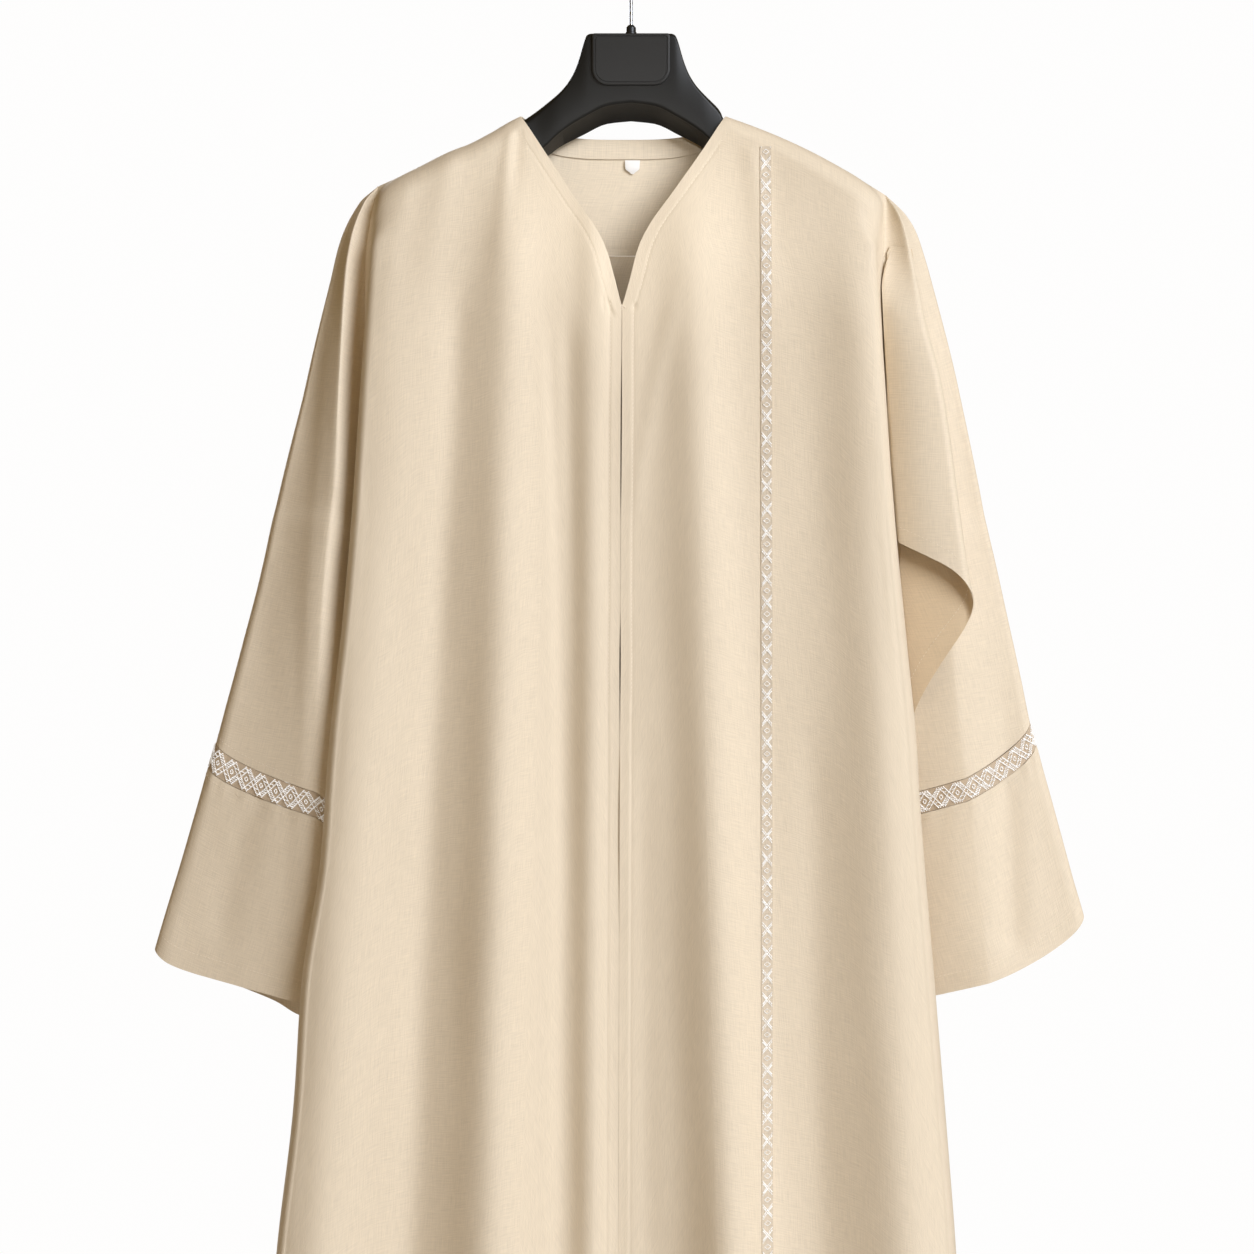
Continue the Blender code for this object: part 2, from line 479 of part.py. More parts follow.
def flap_grid(count, rows):
    """The folded flap: front layer from the armhole to the fold, back layer from the fold inwards."""
    w, v = np.meshgrid(np.linspace(0, 1, count + 1), np.linspace(0, 1, rows + 1))
    z = mix(FLAP_TOP_Z - FLAP_TOP_FALL * w, read(FLAP_HEM, "z", w, key="share"), v ** FLAP_ROW_CURVE)
    fold = read(FLAP_FOLD, "out", z)
    grown = smooth((FLAP_TOP_Z - z) / FLAP_GROW_OVER)
    front, back = read(FLAP_DEPTH, "front", z), read(FLAP_DEPTH, "back", z)
    edge = read(BODY_SIDE[LEFT], "edge", z)
    shoulder = np.maximum(read(FLAP_ROOT, "out", z), edge + FLAP_CLEAR)
    root_x = np.maximum(read(BODY_SIDE[LEFT], "seam", z) + FLAP_ROOT_IN, shoulder - FLAP_ROOT_IN)
    lift = mix(FLAP_LIFT_TOP, FLAP_LIFT_LOW, smooth((FLAP_TOP_Z - z) / FLAP_LIFT_OVER))
    root_y = sleeve_front_y(LEFT, root_x, z) - WALL - lift
    reach = np.abs(w - 0.5) * 2
    on_front = w <= 0.5
    turn = FLAP_TURN_TOP + FLAP_TURN_GROWTH * grown
    inward = np.clip((reach - FLAP_TURN) / (FLAP_SINK - FLAP_TURN), 0, 1)
    sink = smooth((reach - FLAP_SINK) / (1 - FLAP_SINK))
    x_front = mix(mix(fold - turn, shoulder, inward), root_x, sink)
    grown_tilt = smooth((FLAP_TOP_Z - z) / FLAP_TILT_OVER) * inward ** FLAP_TILT_CURVE
    y_front = mix(front + FLAP_TILT_FRONT * grown_tilt, root_y, sink)
    below = smooth((FLAP_HEM["z"][0] - z) / FLAP_TUCK_OVER)
    beside = np.maximum((shoulder + root_x) / 2 + WALL, shoulder) + FLAP_BACK_CLEAR
    back_end = mix(beside, edge - FLAP_TUCK_IN, below)
    x_back = mix(mix(fold - turn, back_end + FLAP_ROOT_IN, inward), back_end, sink)
    y_back = back + FLAP_TILT_BACK * grown_tilt + FLAP_TUCK_DEPTH * below * sink
    arc = np.clip(reach / FLAP_TURN, 0, 1) * math.pi / 2
    x_turn = fold - turn + turn * np.cos(arc)
    y_turn = (front + back) / 2 + np.where(on_front, -1, 1) * (back - front) / 2 * np.sin(arc)
    turning = reach < FLAP_TURN
    x = np.where(turning, x_turn, np.where(on_front, x_front, x_back))
    y = np.where(turning, y_turn, np.where(on_front, y_front, y_back))
    return np.stack([x, y, z], axis=-1)


def sleeve_front_y(side, x, z):
    """Depth of a sleeve's front between its ridge and the armhole seam, at x, z."""
    outer, ridge, inner = (read(SLEEVE[side], name, z) for name in ("outer", "ridge", "inner"))
    ridge_at = (outer - ridge) / np.maximum(outer - inner, 1e-6)
    at = (outer - x) / np.maximum(outer - inner, 1e-6)
    share = mix(RIDGE_SHARE, 1.0, (at - ridge_at) / np.maximum(1 - ridge_at, 1e-6))
    return sleeve_point(side, np.clip(share, RIDGE_SHARE, 1.0), z, np.full(np.shape(z), -1))[1]


def normals(points, closed):
    """Unit normals of a grid of points; the grid's columns and rows turn so that they face out."""
    if closed:
        wide = np.concatenate([points[:, -1:], points, points[:, :1]], axis=1)
        along_u = (wide[:, 2:] - wide[:, :-2]) / 2
    else:
        along_u = np.gradient(points, axis=1)
    along_v = np.gradient(points, axis=0)
    cross = np.cross(along_u, along_v)
    size = np.linalg.norm(cross, axis=-1, keepdims=True)
    return cross / np.maximum(size, 1e-9)


def hold_back(offset, where, axis, sign):
    """At a seam, keep the wall's inner edge from crossing the seam along an axis."""
    part = offset[where]
    crossing = part[..., axis] * sign > 0
    part[..., axis] = np.where(crossing, 0.0, part[..., axis])
    part /= np.maximum(np.linalg.norm(part, axis=-1, keepdims=True), 1e-9)
    offset[where] = part


def cloth(name, points, material, closed=False, outward=1, seams=(), wall=WALL):
    """A panel of cloth from its outer points: a wall with a closed rim."""
    points = np.asarray(points, float)
    inward = -outward * normals(points, closed)
    for where, axis, sign in seams:
        hold_back(inward, where, axis, sign)
    rows, count = points.shape[:2]
    verts = np.concatenate([points.reshape(-1, 3), (points + inward * wall).reshape(-1, 3)])
    shift = rows * count
    last = count if closed else count - 1
    quads = []
    for i in range(rows - 1):
        for j in range(last):
            k = (j + 1) % count
            quad = [i * count + j, i * count + k, (i + 1) * count + k, (i + 1) * count + j]
            quads.append(quad)
            quads.append([shift + n for n in (quad[1], quad[0], quad[3], quad[2])])
    low = (rows - 1) * count
    for j in range(last):
        k = (j + 1) % count
        quads.append([j, shift + j, shift + k, k])
        quads.append([low + k, shift + low + k, shift + low + j, low + j])
    if not closed:
        for i in range(rows - 1):
            a, b = i * count, (i + 1) * count
            quads.append([b, shift + b, shift + a, a])
            a, b = a + count - 1, b + count - 1
            quads.append([a, shift + a, shift + b, b])
    faces = []
    for a, b, c, d in quads:
        faces += [[a, b, c], [a, c, d]]
    if outward < 0:
        faces = [face[::-1] for face in faces]
    return add_object(name, verts, faces, material)


def add_object(name, verts, faces, material, angle=50.0):
    mesh = bpy.data.meshes.new(name)
    mesh.from_pydata([tuple(v) for v in np.asarray(verts) * MM], [], [list(f) for f in faces])
    mesh.validate()
    mesh.update()
    mesh.shade_smooth()
    mesh.set_sharp_from_angle(angle=math.radians(angle))
    mesh.materials.append(material)
    made = bpy.data.objects.new(name, mesh)
    bpy.context.scene.collection.objects.link(made)
    return made


def finish(name, colour, roughness, metallic=0.0):
    """A plain Principled BSDF."""
    material = bpy.data.materials.new(name)
    material.use_nodes = True
    shader = material.node_tree.nodes["Principled BSDF"]
    shader.inputs["Base Color"].default_value = (*colour, 1.0)
    shader.inputs["Roughness"].default_value = roughness
    shader.inputs["Metallic"].default_value = metallic
    return material


def linen(name):
    return finish(name + "_cloth", (0.76, 0.64, 0.49), 0.85)


def braid(name):
    return finish(name + "_braid", (0.82, 0.81, 0.78), 0.5)


def on_panel(grid, x, z):
    """Depth of a panel's flat facets at x, z."""
    corners = [grid[:-1, :-1], grid[:-1, 1:], grid[1:, 1:], grid[1:, :-1]]
    for a, b, c in ((0, 1, 2), (0, 2, 3)):
        p, q, r = (corners[n].reshape(-1, 3) for n in (a, b, c))
        area = (q[:, 0] - p[:, 0]) * (r[:, 2] - p[:, 2]) - (r[:, 0] - p[:, 0]) * (q[:, 2] - p[:, 2])
        area = np.where(np.abs(area) < 1e-9, 1e-9, area)
        s = ((x - p[:, 0]) * (r[:, 2] - p[:, 2]) - (r[:, 0] - p[:, 0]) * (z - p[:, 2])) / area
        t = ((q[:, 0] - p[:, 0]) * (z - p[:, 2]) - (x - p[:, 0]) * (q[:, 2] - p[:, 2])) / area
        inside = np.flatnonzero((s >= -1e-6) & (t >= -1e-6) & (s + t <= 1 + 1e-6))
        if len(inside):
            k = inside[0]
            return p[k, 1] + s[k] * (q[k, 1] - p[k, 1]) + t[k] * (r[k, 1] - p[k, 1])
    raise ValueError("no facet at %.1f, %.1f" % (x, z))


def front_shares():
    """Columns of a front: close together at the neck point, then even, then by the armhole."""
    neck = NECK_SHARE * (1 - (1 - np.arange(NECK_COLUMNS) / NECK_COLUMNS) ** 2.5)
    shoulder = np.linspace(NECK_SHARE, SHOULDER_SHARE, SHOULDER_COLUMNS + 1)[:-1]
    return np.concatenate([neck, shoulder, mix(SHOULDER_SHARE, 1.0, BODY_LEVELS)])


def skirt_shares(side):
    """Columns of the skirt: closer at the pleat, then by the armhole levels below the yoke."""
    seam_z = YOKE_SEAM_Z - SEAM_GAP / 2
    levels = mix(SHOULDER_Z[side], ARMPIT_Z[side], SLEEVE_LEVELS[SKIRT_LEVELS])
    levels = (seam_z - levels) / (seam_z - ARMPIT_Z[side])
    across_back = SHOULDER_SHARE * (np.arange(SKIRT_COLUMNS + 1) / SKIRT_COLUMNS) ** 1.25
    return np.concatenate([across_back, mix(SHOULDER_SHARE, 1.0, levels)])


def build_fronts():
    """Two fronts and the braid that lies on the left one."""
    shares = front_shares()
    drops = np.array(PANEL_DROPS) / PANEL_DROPS[-1]
    every = slice(None)
    for side, name in ((RIGHT, "front_right"), (LEFT, "front_left")):
        grid = front_grid(side, shares, drops)
        shoulder = np.flatnonzero((shares >= NECK_SHARE - 0.01) & (shares <= SHOULDER_SHARE + 0.02))
        armhole = np.flatnonzero(shares >= SHOULDER_SHARE)
        seams = [((0, shoulder), 1, 1), ((0, armhole), 0, side), ((0, armhole), 1, 1),
                 ((every, 0), 0, -side), ((every, -1), 1, 1)]
        cloth(name, grid, linen(name), outward=-side, seams=seams)
    low, high = TRIM_X
    top = float(ridge_z(LEFT, np.array(high))) - TRIM_START
    z = mix(top, HEM_Z + 1.0, np.linspace(0, 1, TRIM_ROWS + 1) ** 1.5)
    across_trim = (low, (low + high) / 2, high)
    strip = [[(x, on_panel(grid, x, at) - TRIM_LIFT, at) for x in across_trim] for at in z]
    lifted = np.array(strip) - np.array([0.0, TRIM_WALL, 0.0])
    cloth("front_trim", lifted, braid("front_trim"), outward=-1, wall=TRIM_WALL)


def build_back():
    """The yoke, the pleated skirt below it, the neck facing and the label."""
    neck = BACK_NECK_SHARE * (1 - (1 - np.arange(YOKE_NECK_COLUMNS) / YOKE_NECK_COLUMNS) ** 2)
    shares = np.concatenate([neck, np.linspace(BACK_NECK_SHARE, 1, SHOULDER_COLUMNS + 1)])
    drops = np.array(YOKE_DROPS) / YOKE_DROPS[-1]
    yoke = both_halves(yoke_half, lambda side: shares, drops)
    count = yoke.shape[1]
    ridge = np.arange(YOKE_NECK_COLUMNS, len(shares))
    shoulder = np.concatenate([len(shares) - 1 - ridge, len(shares) - 1 + ridge])
    every = slice(None)
    seams = [((0, shoulder), 1, -1), ((-1, every), 2, -1), ((every, 0), 0, 1),
             ((every, count - 1), 0, -1), ((every, 0), 1, -1), ((every, count - 1), 1, -1)]
    cloth("back_yoke", yoke, linen("back_yoke"), outward=-1, seams=seams)

    drops = np.linspace(0, 1, SKIRT_ROWS + 1) ** 1.2
    skirt = both_halves(skirt_half, skirt_shares, drops)
    seams = [((0, every), 2, 1), ((every, 0), 1, -1), ((every, -1), 1, -1)]
    cloth("back_skirt", skirt, linen("back_skirt"), outward=-1, seams=seams)

    inner = yoke - np.array([0.0, WALL + FACING_LIFT, 0.0])
    x = np.linspace(*FACING_X, FACING_COLUMNS + 1)
    band = [[(at, on_panel(inner, at, float(back_neck_z(at)) - fall), float(back_neck_z(at)) - fall)
             for at in x] for fall in (1.0, 9.0, FACING_FALL)]
    cloth("neck_facing", np.array(band), linen("neck_facing"), wall=FACING_WALL)

    left, right = LABEL_X
    y = on_panel(inner, 0.0, BACK_NECK_Z - FACING_FALL - 6.0)
    tip = LABEL_TOP_Z - LABEL_FALL
    rows = [[(left, y, LABEL_TOP_Z), ((left + right) / 2, y, LABEL_TOP_Z), (right, y, LABEL_TOP_Z)],
            [(left + 1, y, tip + 3), ((left + right) / 2, y, tip), (right - 1, y, tip + 3)]]
    cloth("neck_label", np.array(rows), finish("label", (0.93, 0.91, 0.88), 0.6), wall=LABEL_WALL)


def build_sleeve(side, name):
    """A sleeve in its three stretches: upper, braid band and cuff."""
    def armhole(near):
        return mix(SHOULDER_Z[side], ARMPIT_Z[side], near)

    def line(edge, shift):
        return lambda near: edge[0] - edge[1] * near + shift

    def hem(near):
        return read(CUFF_HEM[side], "z", near, key="share")

    half = BAND_GAP / 2
    upper = sleeve_grid(side, SLEEVE_ROWS, armhole, line(TRIM_TOP[side], half), 1.25)
    band = sleeve_grid(side, 2, line(TRIM_TOP[side], -half), line(TRIM_LOW[side], half))
    cuff = sleeve_grid(side, CUFF_ROWS, line(TRIM_LOW[side], -half), hem)
    every = slice(None)
    ends = [((0, every), 2, 1), ((-1, every), 2, -1)]
    cloth(name + "_upper", upper, linen(name + "_upper"), closed=True, outward=side,
          seams=[((0, every), 0, -side), ((-1, every), 2, -1)])
    cloth(name + "_trim", band, braid(name + "_trim"), closed=True, outward=side, seams=ends)
    cloth(name + "_cuff", cuff, linen(name + "_cuff"), closed=True, outward=side, seams=ends)


def build_flap():
    grid = flap_grid(FLAP_COLUMNS, FLAP_ROWS)
    cloth("sleeve_left_flap", grid, linen("sleeve_left_flap"), outward=-1)


def rounded_section(half_depth, low_front, low_back, top, radius, lower_radius):
    """A hanger section in depth and height, turning from the front foot over the top."""
    corners = [(-half_depth, low_front, lower_radius, math.pi, 1.5 * math.pi),
               (half_depth, low_back, lower_radius, 1.5 * math.pi, 2 * math.pi),
               (half_depth, top, radius, 0.0, 0.5 * math.pi),
               (-half_depth, top, radius, 0.5 * math.pi, math.pi)]
    points = []
    for y, z, r, start, end in corners:
        cy = y - math.copysign(r, y)
        cz = z - r if z == top else z + r
        for step in range(ARC_STEPS + 1):
            angle = start + (end - start) * step / ARC_STEPS
            points.append((cy + r * math.cos(angle), cz + r * math.sin(angle)))
    return points


def build_hanger():
    """Arched body with two broad arms, its name plate left bare, collar and hook."""
    black = finish("hanger_plastic", (0.018, 0.018, 0.017), 0.38)
    stations = []
    for side in (RIGHT, LEFT):
        outs = list(HANGER_TOP["out"][1:]) if side == LEFT else list(HANGER_TOP["out"][:0:-1])
        stations += [side * out for out in outs] if side == RIGHT else [0.0] + [out for out in outs]
    sections = []
    for x in stations:
        side, out = (RIGHT, -x) if x < 0 else (LEFT, x)
        half = float(read(HANGER_HALF, "half", out, key="out"))
        half *= mix(HANGER_END_HALF, 1.0, float(quarter((HANGER_END - out) / HANGER_END_ROUND)))
        if out > NECK_X[side]:
            top = float(ridge_z(side, np.array(out))) - WALL - HANGER_TOP_GAP
            rounding = half - 0.05
        else:
            top = float(read(HANGER_TOP, "right" if side == RIGHT else "left", out, key="out"))
            rounding = mix(HANGER_CORNER, half - 0.05, float(smooth((out - CREST_OUT) / CREST_BLEND)))
        low = float(read(HANGER_LOW, "z", out, key="out"))
        slant = float(read(HANGER_LOW, "slant", out, key="out"))
        section = rounded_section(half, low, low - slant, top, rounding, HANGER_FOOT)
        sections.append([(x, y, z) for y, z in section])
    verts = [point for section in sections for point in section]
    ring = len(sections[0])
    faces = []
    for i in range(len(sections) - 1):
        for j in range(ring):
            k = (j + 1) % ring
            faces.append([i * ring + j, i * ring + k, (i + 1) * ring + k, (i + 1) * ring + j])
    faces.append(list(range(ring))[::-1])
    faces.append([(len(sections) - 1) * ring + j for j in range(ring)])
    add_object("hanger_body", verts, faces, black)

    half = float(HANGER_HALF["half"][0])
    outline = [(PLATE_X[0], PLATE_TOP_Z), (PLATE_X[1], PLATE_TOP_Z)]
    for centre, start in ((PLATE_X[1] - PLATE_CORNER, 0.0), (PLATE_X[0] + PLATE_CORNER, -0.5 * math.pi)):
        for step in range(PLATE_STEPS + 1):
            angle = start - 0.5 * math.pi * step / PLATE_STEPS
            outline.append((centre + PLATE_CORNER * math.cos(angle),
                            PLATE_LOW_Z + PLATE_CORNER + PLATE_CORNER * math.sin(angle)))
    front, rear = -half - SEAM_GAP - PLATE_THICK, -half - SEAM_GAP
    count = len(outline)
    verts = [(x, front, z) for x, z in outline] + [(x, rear, z) for x, z in outline]
    faces = [list(range(count)), [count + j for j in reversed(range(count))]]
    faces += [[j, count + j, count + (j + 1) % count, (j + 1) % count] for j in range(count)]
    add_object("hanger_plate", verts, [face[::-1] for face in faces],
               finish("plate_plastic", (0.035, 0.035, 0.034), 0.3))


def lathe(name, profile, steps, material):
    """A turned piece about the Z axis, from radius and height pairs, bottom to top."""
    ring = [(math.cos(2 * math.pi * k / steps), math.sin(2 * math.pi * k / steps)) for k in range(steps)]
    verts = [(r * c, r * s, z) for r, z in profile for c, s in ring]
    faces = []
    for i in range(len(profile) - 1):
        for j in range(steps):
            k = (j + 1) % steps
            faces.append([i * steps + j, i * steps + k, (i + 1) * steps + k, (i + 1) * steps + j])
    faces.append(list(range(steps))[::-1])
    faces.append([(len(profile) - 1) * steps + j for j in range(steps)])
    return add_object(name, verts, faces, material)


def build_hook():
    """Wire hook: a stem, then an arc round the right-hand side and over the top to its tip."""
    steel = finish("hook_steel", (0.62, 0.62, 0.62), 0.25, metallic=1.0)
    centre_z = -(HOOK_RADIUS - WIRE / 2)
    path = [(0.0, COLLAR_TOP_Z + SEAM_GAP), (0.0, centre_z - HOOK_RADIUS - 8.0)]
    for step in range(HOOK_STEPS + 1):
        angle = -0.5 * math.pi + HOOK_TURN * step / HOOK_STEPS
        path.append((HOOK_RADIUS * math.cos(angle), centre_z + HOOK_RADIUS * math.sin(angle)))
    path = np.array(path)
    tangent = np.gradient(path, axis=0)
    tangent /= np.linalg.norm(tangent, axis=1, keepdims=True)
    across_x, across_z = -tangent[:, 1], tangent[:, 0]
    verts, faces = [], []
    for (x, z), ax, az in zip(path, across_x, across_z):
        for k in range(WIRE_SIDES):
            angle = 2 * math.pi * k / WIRE_SIDES
            reach = WIRE / 2 * math.cos(angle)
            verts.append((x + ax * reach, WIRE / 2 * math.sin(angle), z + az * reach))
    for i in range(len(path) - 1):
        for j in range(WIRE_SIDES):
            k = (j + 1) % WIRE_SIDES
            faces.append([i * WIRE_SIDES + j, i * WIRE_SIDES + k,
                          (i + 1) * WIRE_SIDES + k, (i + 1) * WIRE_SIDES + j])
    faces.append(list(range(WIRE_SIDES))[::-1])
    faces.append([(len(path) - 1) * WIRE_SIDES + j for j in range(WIRE_SIDES)])
    add_object("hanger_hook", verts, [face[::-1] for face in faces], steel)
    collar = [(COLLAR_RADIUS, COLLAR_LOW_Z), (COLLAR_RADIUS, COLLAR_TOP_Z - 1.5),
              (COLLAR_RADIUS - 1.5, COLLAR_TOP_Z)]
    lathe("hanger_collar", collar, 16, steel)


def main():
    for old in list(bpy.data.objects):
        bpy.data.objects.remove(old, do_unlink=True)
    build_hanger()
    build_hook()
    build_fronts()
    build_back()
    build_sleeve(RIGHT, "sleeve_right")
    build_sleeve(LEFT, "sleeve_left")
    build_flap()


main()
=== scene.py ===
"""Looks of the abaya cloak on its hanger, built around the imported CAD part.

Metres, +Z up, origin at the inside top of the hook. The tables are in millimetres. The cloth's
shapes come from the same sections as the CAD part, on finer grids and with its creases.
"""

import math

import bpy
import numpy as np
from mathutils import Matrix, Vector


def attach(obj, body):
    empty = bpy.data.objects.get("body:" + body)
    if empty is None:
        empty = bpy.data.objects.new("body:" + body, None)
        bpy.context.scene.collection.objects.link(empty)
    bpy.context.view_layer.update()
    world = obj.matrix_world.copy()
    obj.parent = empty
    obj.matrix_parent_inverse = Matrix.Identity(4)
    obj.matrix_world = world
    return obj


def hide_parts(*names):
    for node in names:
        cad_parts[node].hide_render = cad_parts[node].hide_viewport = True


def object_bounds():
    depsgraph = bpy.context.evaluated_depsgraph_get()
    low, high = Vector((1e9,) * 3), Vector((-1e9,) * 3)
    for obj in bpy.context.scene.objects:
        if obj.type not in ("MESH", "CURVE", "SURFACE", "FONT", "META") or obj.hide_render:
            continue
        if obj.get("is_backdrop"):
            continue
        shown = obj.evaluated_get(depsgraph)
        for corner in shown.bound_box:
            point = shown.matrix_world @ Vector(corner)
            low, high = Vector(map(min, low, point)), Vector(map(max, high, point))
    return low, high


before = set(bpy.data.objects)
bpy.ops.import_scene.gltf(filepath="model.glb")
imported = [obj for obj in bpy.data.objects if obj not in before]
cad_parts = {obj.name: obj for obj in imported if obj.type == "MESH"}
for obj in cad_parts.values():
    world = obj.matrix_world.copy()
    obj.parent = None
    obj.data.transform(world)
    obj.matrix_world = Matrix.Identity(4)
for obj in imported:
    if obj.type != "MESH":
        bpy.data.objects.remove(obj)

MM = 0.001
RIGHT, LEFT = -1, 1

# Levels at which columns meet the armhole seam, from the shoulder point to the armpit. The body
# takes some of the sleeve's levels, and the skirt starts where the yoke ends.
BASE_LEVELS = np.array([0, 0.05, 0.12, 0.2, 0.3, 0.4, 0.5, 0.6, 0.69, 0.77, 0.84, 0.9, 0.95, 1])
BASE_BODY_LEVELS = BASE_LEVELS[[0, 2, 4, 6, 8, 10, 11, 12, 13]]
SKIRT_LEVELS = [4, 6, 8, 10, 11, 12, 13]

# Cloth and seams
WALL = 1.6
SEAM_GAP = 0.4
BAND_GAP = 0.8
HEM_Z = -1565.0

# Neck and shoulders
NECK_Z = -147.5
V_POINT_Z = -311.0
BACK_NECK_Z = -163.5
BACK_NECK_CENTRE = -6.0
BACK_NECK_HALF = 86.0
YOKE_SEAM_Z = -262.0
NECK_X = {RIGHT: 94.0, LEFT: 80.5}
SHOULDER_X = {RIGHT: 214.0, LEFT: 215.9}
SHOULDER_Z = {RIGHT: -206.4, LEFT: -214.0}
ARMPIT_Z = {RIGHT: -490.0, LEFT: -497.0}

# Shares of a panel's columns that start at the neckline and at the shoulder seam
NECK_SHARE = 0.22
SHOULDER_SHARE = 0.66
BACK_NECK_SHARE = 0.4
# Share of a section that lies across the panel, and across plus the turn at its edge
ACROSS_SHARE = 0.74
TURN_SHARE = 0.88


def columns(names, rows):
    """A table with named columns."""
    return dict(zip(names.split(), np.array(rows, float).T))


def read(table, name, at, key="z"):
    """Smooth reading of one column that never overshoots its rows."""
    order = np.argsort(table[key])
    x, y = table[key][order], table[name][order]
    step = np.diff(x)
    slope = np.diff(y) / step
    tangent = np.zeros_like(y)
    tangent[0], tangent[-1] = slope[0], slope[-1]
    same = slope[:-1] * slope[1:] > 0
    both = slope[:-1] + slope[1:]
    tangent[1:-1][same] = 2 * (slope[:-1] * slope[1:])[same] / both[same]
    at = np.clip(np.asarray(at, float), x[0], x[-1])
    i = np.clip(np.searchsorted(x, at) - 1, 0, len(x) - 2)
    t = (at - x[i]) / step[i]
    return ((1 + 2 * t) * (1 - t) ** 2 * y[i] + t * (1 - t) ** 2 * step[i] * tangent[i]
            + t * t * (3 - 2 * t) * y[i + 1] + t * t * (t - 1) * step[i] * tangent[i + 1])


def denser(values, times):
    """The same breakpoints with more values between them."""
    values = np.asarray(values, float)
    at = np.linspace(0, len(values) - 1, (len(values) - 1) * times + 1)
    return np.interp(at, np.arange(len(values)), values)


def smooth(t):
    """0 to 1 with level ends."""
    t = np.clip(t, 0.0, 1.0)
    return t * t * (3 - 2 * t)


def mix(a, b, t):
    return a + (b - a) * t


def quarter(t):
    """Quarter of a circle: rises steeply from 0 and levels off at 1."""
    return np.sqrt(np.clip(1 - (1 - np.clip(t, 0, 1)) ** 2, 0, 1))


# Neckline and front edge: distance from x = 0 towards the wearer's own side
NECKLINE = {
    RIGHT: columns("z out", [
        (-147.5, 94), (-182.7, 70.9), (-227.2, 42.1), (-246.1, 29.4),
        (-262.9, 21), (-282.9, 15.1), (-311, 8)]),
    LEFT: columns("z out", [
        (-147.5, 80.5), (-179, 60), (-214.6, 35.3), (-246.1, 13.4),
        (-262.9, 5.8), (-288.8, -0.9), (-311, -7.3)]),
}
# The open front: its middle line and how far its two edges stand apart
FRONT_OPENING = columns("z middle apart", [
    (-311, -7.6, 0.4), (-345, -7.8, 0.4), (-400, -8.2, 1.1), (-460, -8.5, 0.9), (-500, -8.7, 0.2),
    (-560, -9, 0.2), (-610, -9.2, 1.2), (-640, -9.3, 0.8), (-690, -9.5, 0.15), (-1565, -12, 0.15)])

# Shoulder seam, seen from the front
SHOULDER_LINE = {
    RIGHT: columns("out z", [
        (94, -147.5), (103, -152), (117.3, -160.5), (138.6, -171.6), (152.2, -176.7),
        (184.5, -192.8), (214, -206.4)]),
    LEFT: columns("out z", [
        (80.5, -147.5), (104, -156), (125, -164.5), (152, -177), (184, -194.5), (215.9, -214)]),
}
# Half depth of the cloth where it rides on the hanger's arms
RIDGE_DEPTH = columns("out front back", [
    (0, 14, 22), (60, 14.5, 22), (80, 15, 21.5), (94, 16, 19.5), (110, 18, 18.5),
    (150, 21.5, 21.5), (216, 27, 27)])

# Front fold edge of the body, and the armhole seam, which goes on below as the side seam
BODY_SIDE = {
    RIGHT: columns("z edge seam", [
        (-206.4, 214, 214), (-222, 215.5, 218.5), (-240, 217, 222), (-272, 220, 225.5),
        (-338, 224.5, 226), (-389, 228, 223), (-440, 231.2, 215), (-490, 234.8, 206),
        (-575, 242, 212), (-676, 253, 223), (-778, 260.5, 230), (-879, 276, 245),
        (-980, 282.4, 252), (-1105, 296.7, 266), (-1565, 330, 300)]),
    LEFT: columns("z edge seam", [
        (-214, 215.9, 215.9), (-232, 211, 214.5), (-268, 207, 214), (-320, 209.5, 215),
        (-366, 212.4, 214), (-433, 216.6, 207), (-497, 221.7, 194), (-592, 230.9, 201),
        (-682, 239.4, 209), (-727, 241.9, 212), (-896, 255.4, 225), (-1030, 266.3, 236),
        (-1098, 271.4, 242), (-1565, 296, 267)]),
}
# Depth of the armhole seam, by the drop below the shoulder point
ARMHOLE_DEPTH = columns("drop front back", [
    (0, 0, 0), (12, -2, 6), (34, -3, 14), (72, -4, 18), (180, -3, 18), (235, 0, 16),
    (268, 3, 13), (283, 8, 8), (1400, 8, 8)])

# Depth of the sleeve's inner edge at the armpit
ARMPIT_Y = 8.0

# Mean depth of the hanging front and back
BODY_DEPTH = columns("z front back", [
    (-147, 16, 14), (-200, 24, 20), (-300, 30, 30), (-600, 36, 38), (-1100, 40, 42), (-1565, 42, 44)])
FOLD_TOP_Z, FOLD_LOW_Z = -300.0, -1105.0
FOLD_FADE = 140.0
# Ridges of the front, from the wearer's right to the left: where each stands, its half width
# and how far it stands out, at two levels
FRONT_FOLDS = columns("x_top x_low wide_top wide_low out_top out_low", [
    (-199, -262, 40, 40, 7, 24),
    (-103, -117, 24, 36, 10, 32),
    (-32, -34, 12, 15, 4, 9),
    (52, 82, 24, 32, 8, 29),
    (194, 229, 30, 46, 12, 31)])
BACK_FOLDS = columns("x_top x_low wide_top wide_low out_top out_low", [
    (-190, -250, 34, 40, 4, 22),
    (-105, -140, 24, 34, 5, 26),
    (92, 118, 26, 34, 5, 24),
    (185, 226, 34, 42, 4, 22)])
# The box pleat of the back: half width, height and flank at the yoke and at the hem
PLEAT = {"centre": -7.0, "half_top": 22.0, "half_low": 46.0, "out_top": 3.5, "out_low": 20.0,
         "flank_top": 4.0, "flank_low": 24.0}

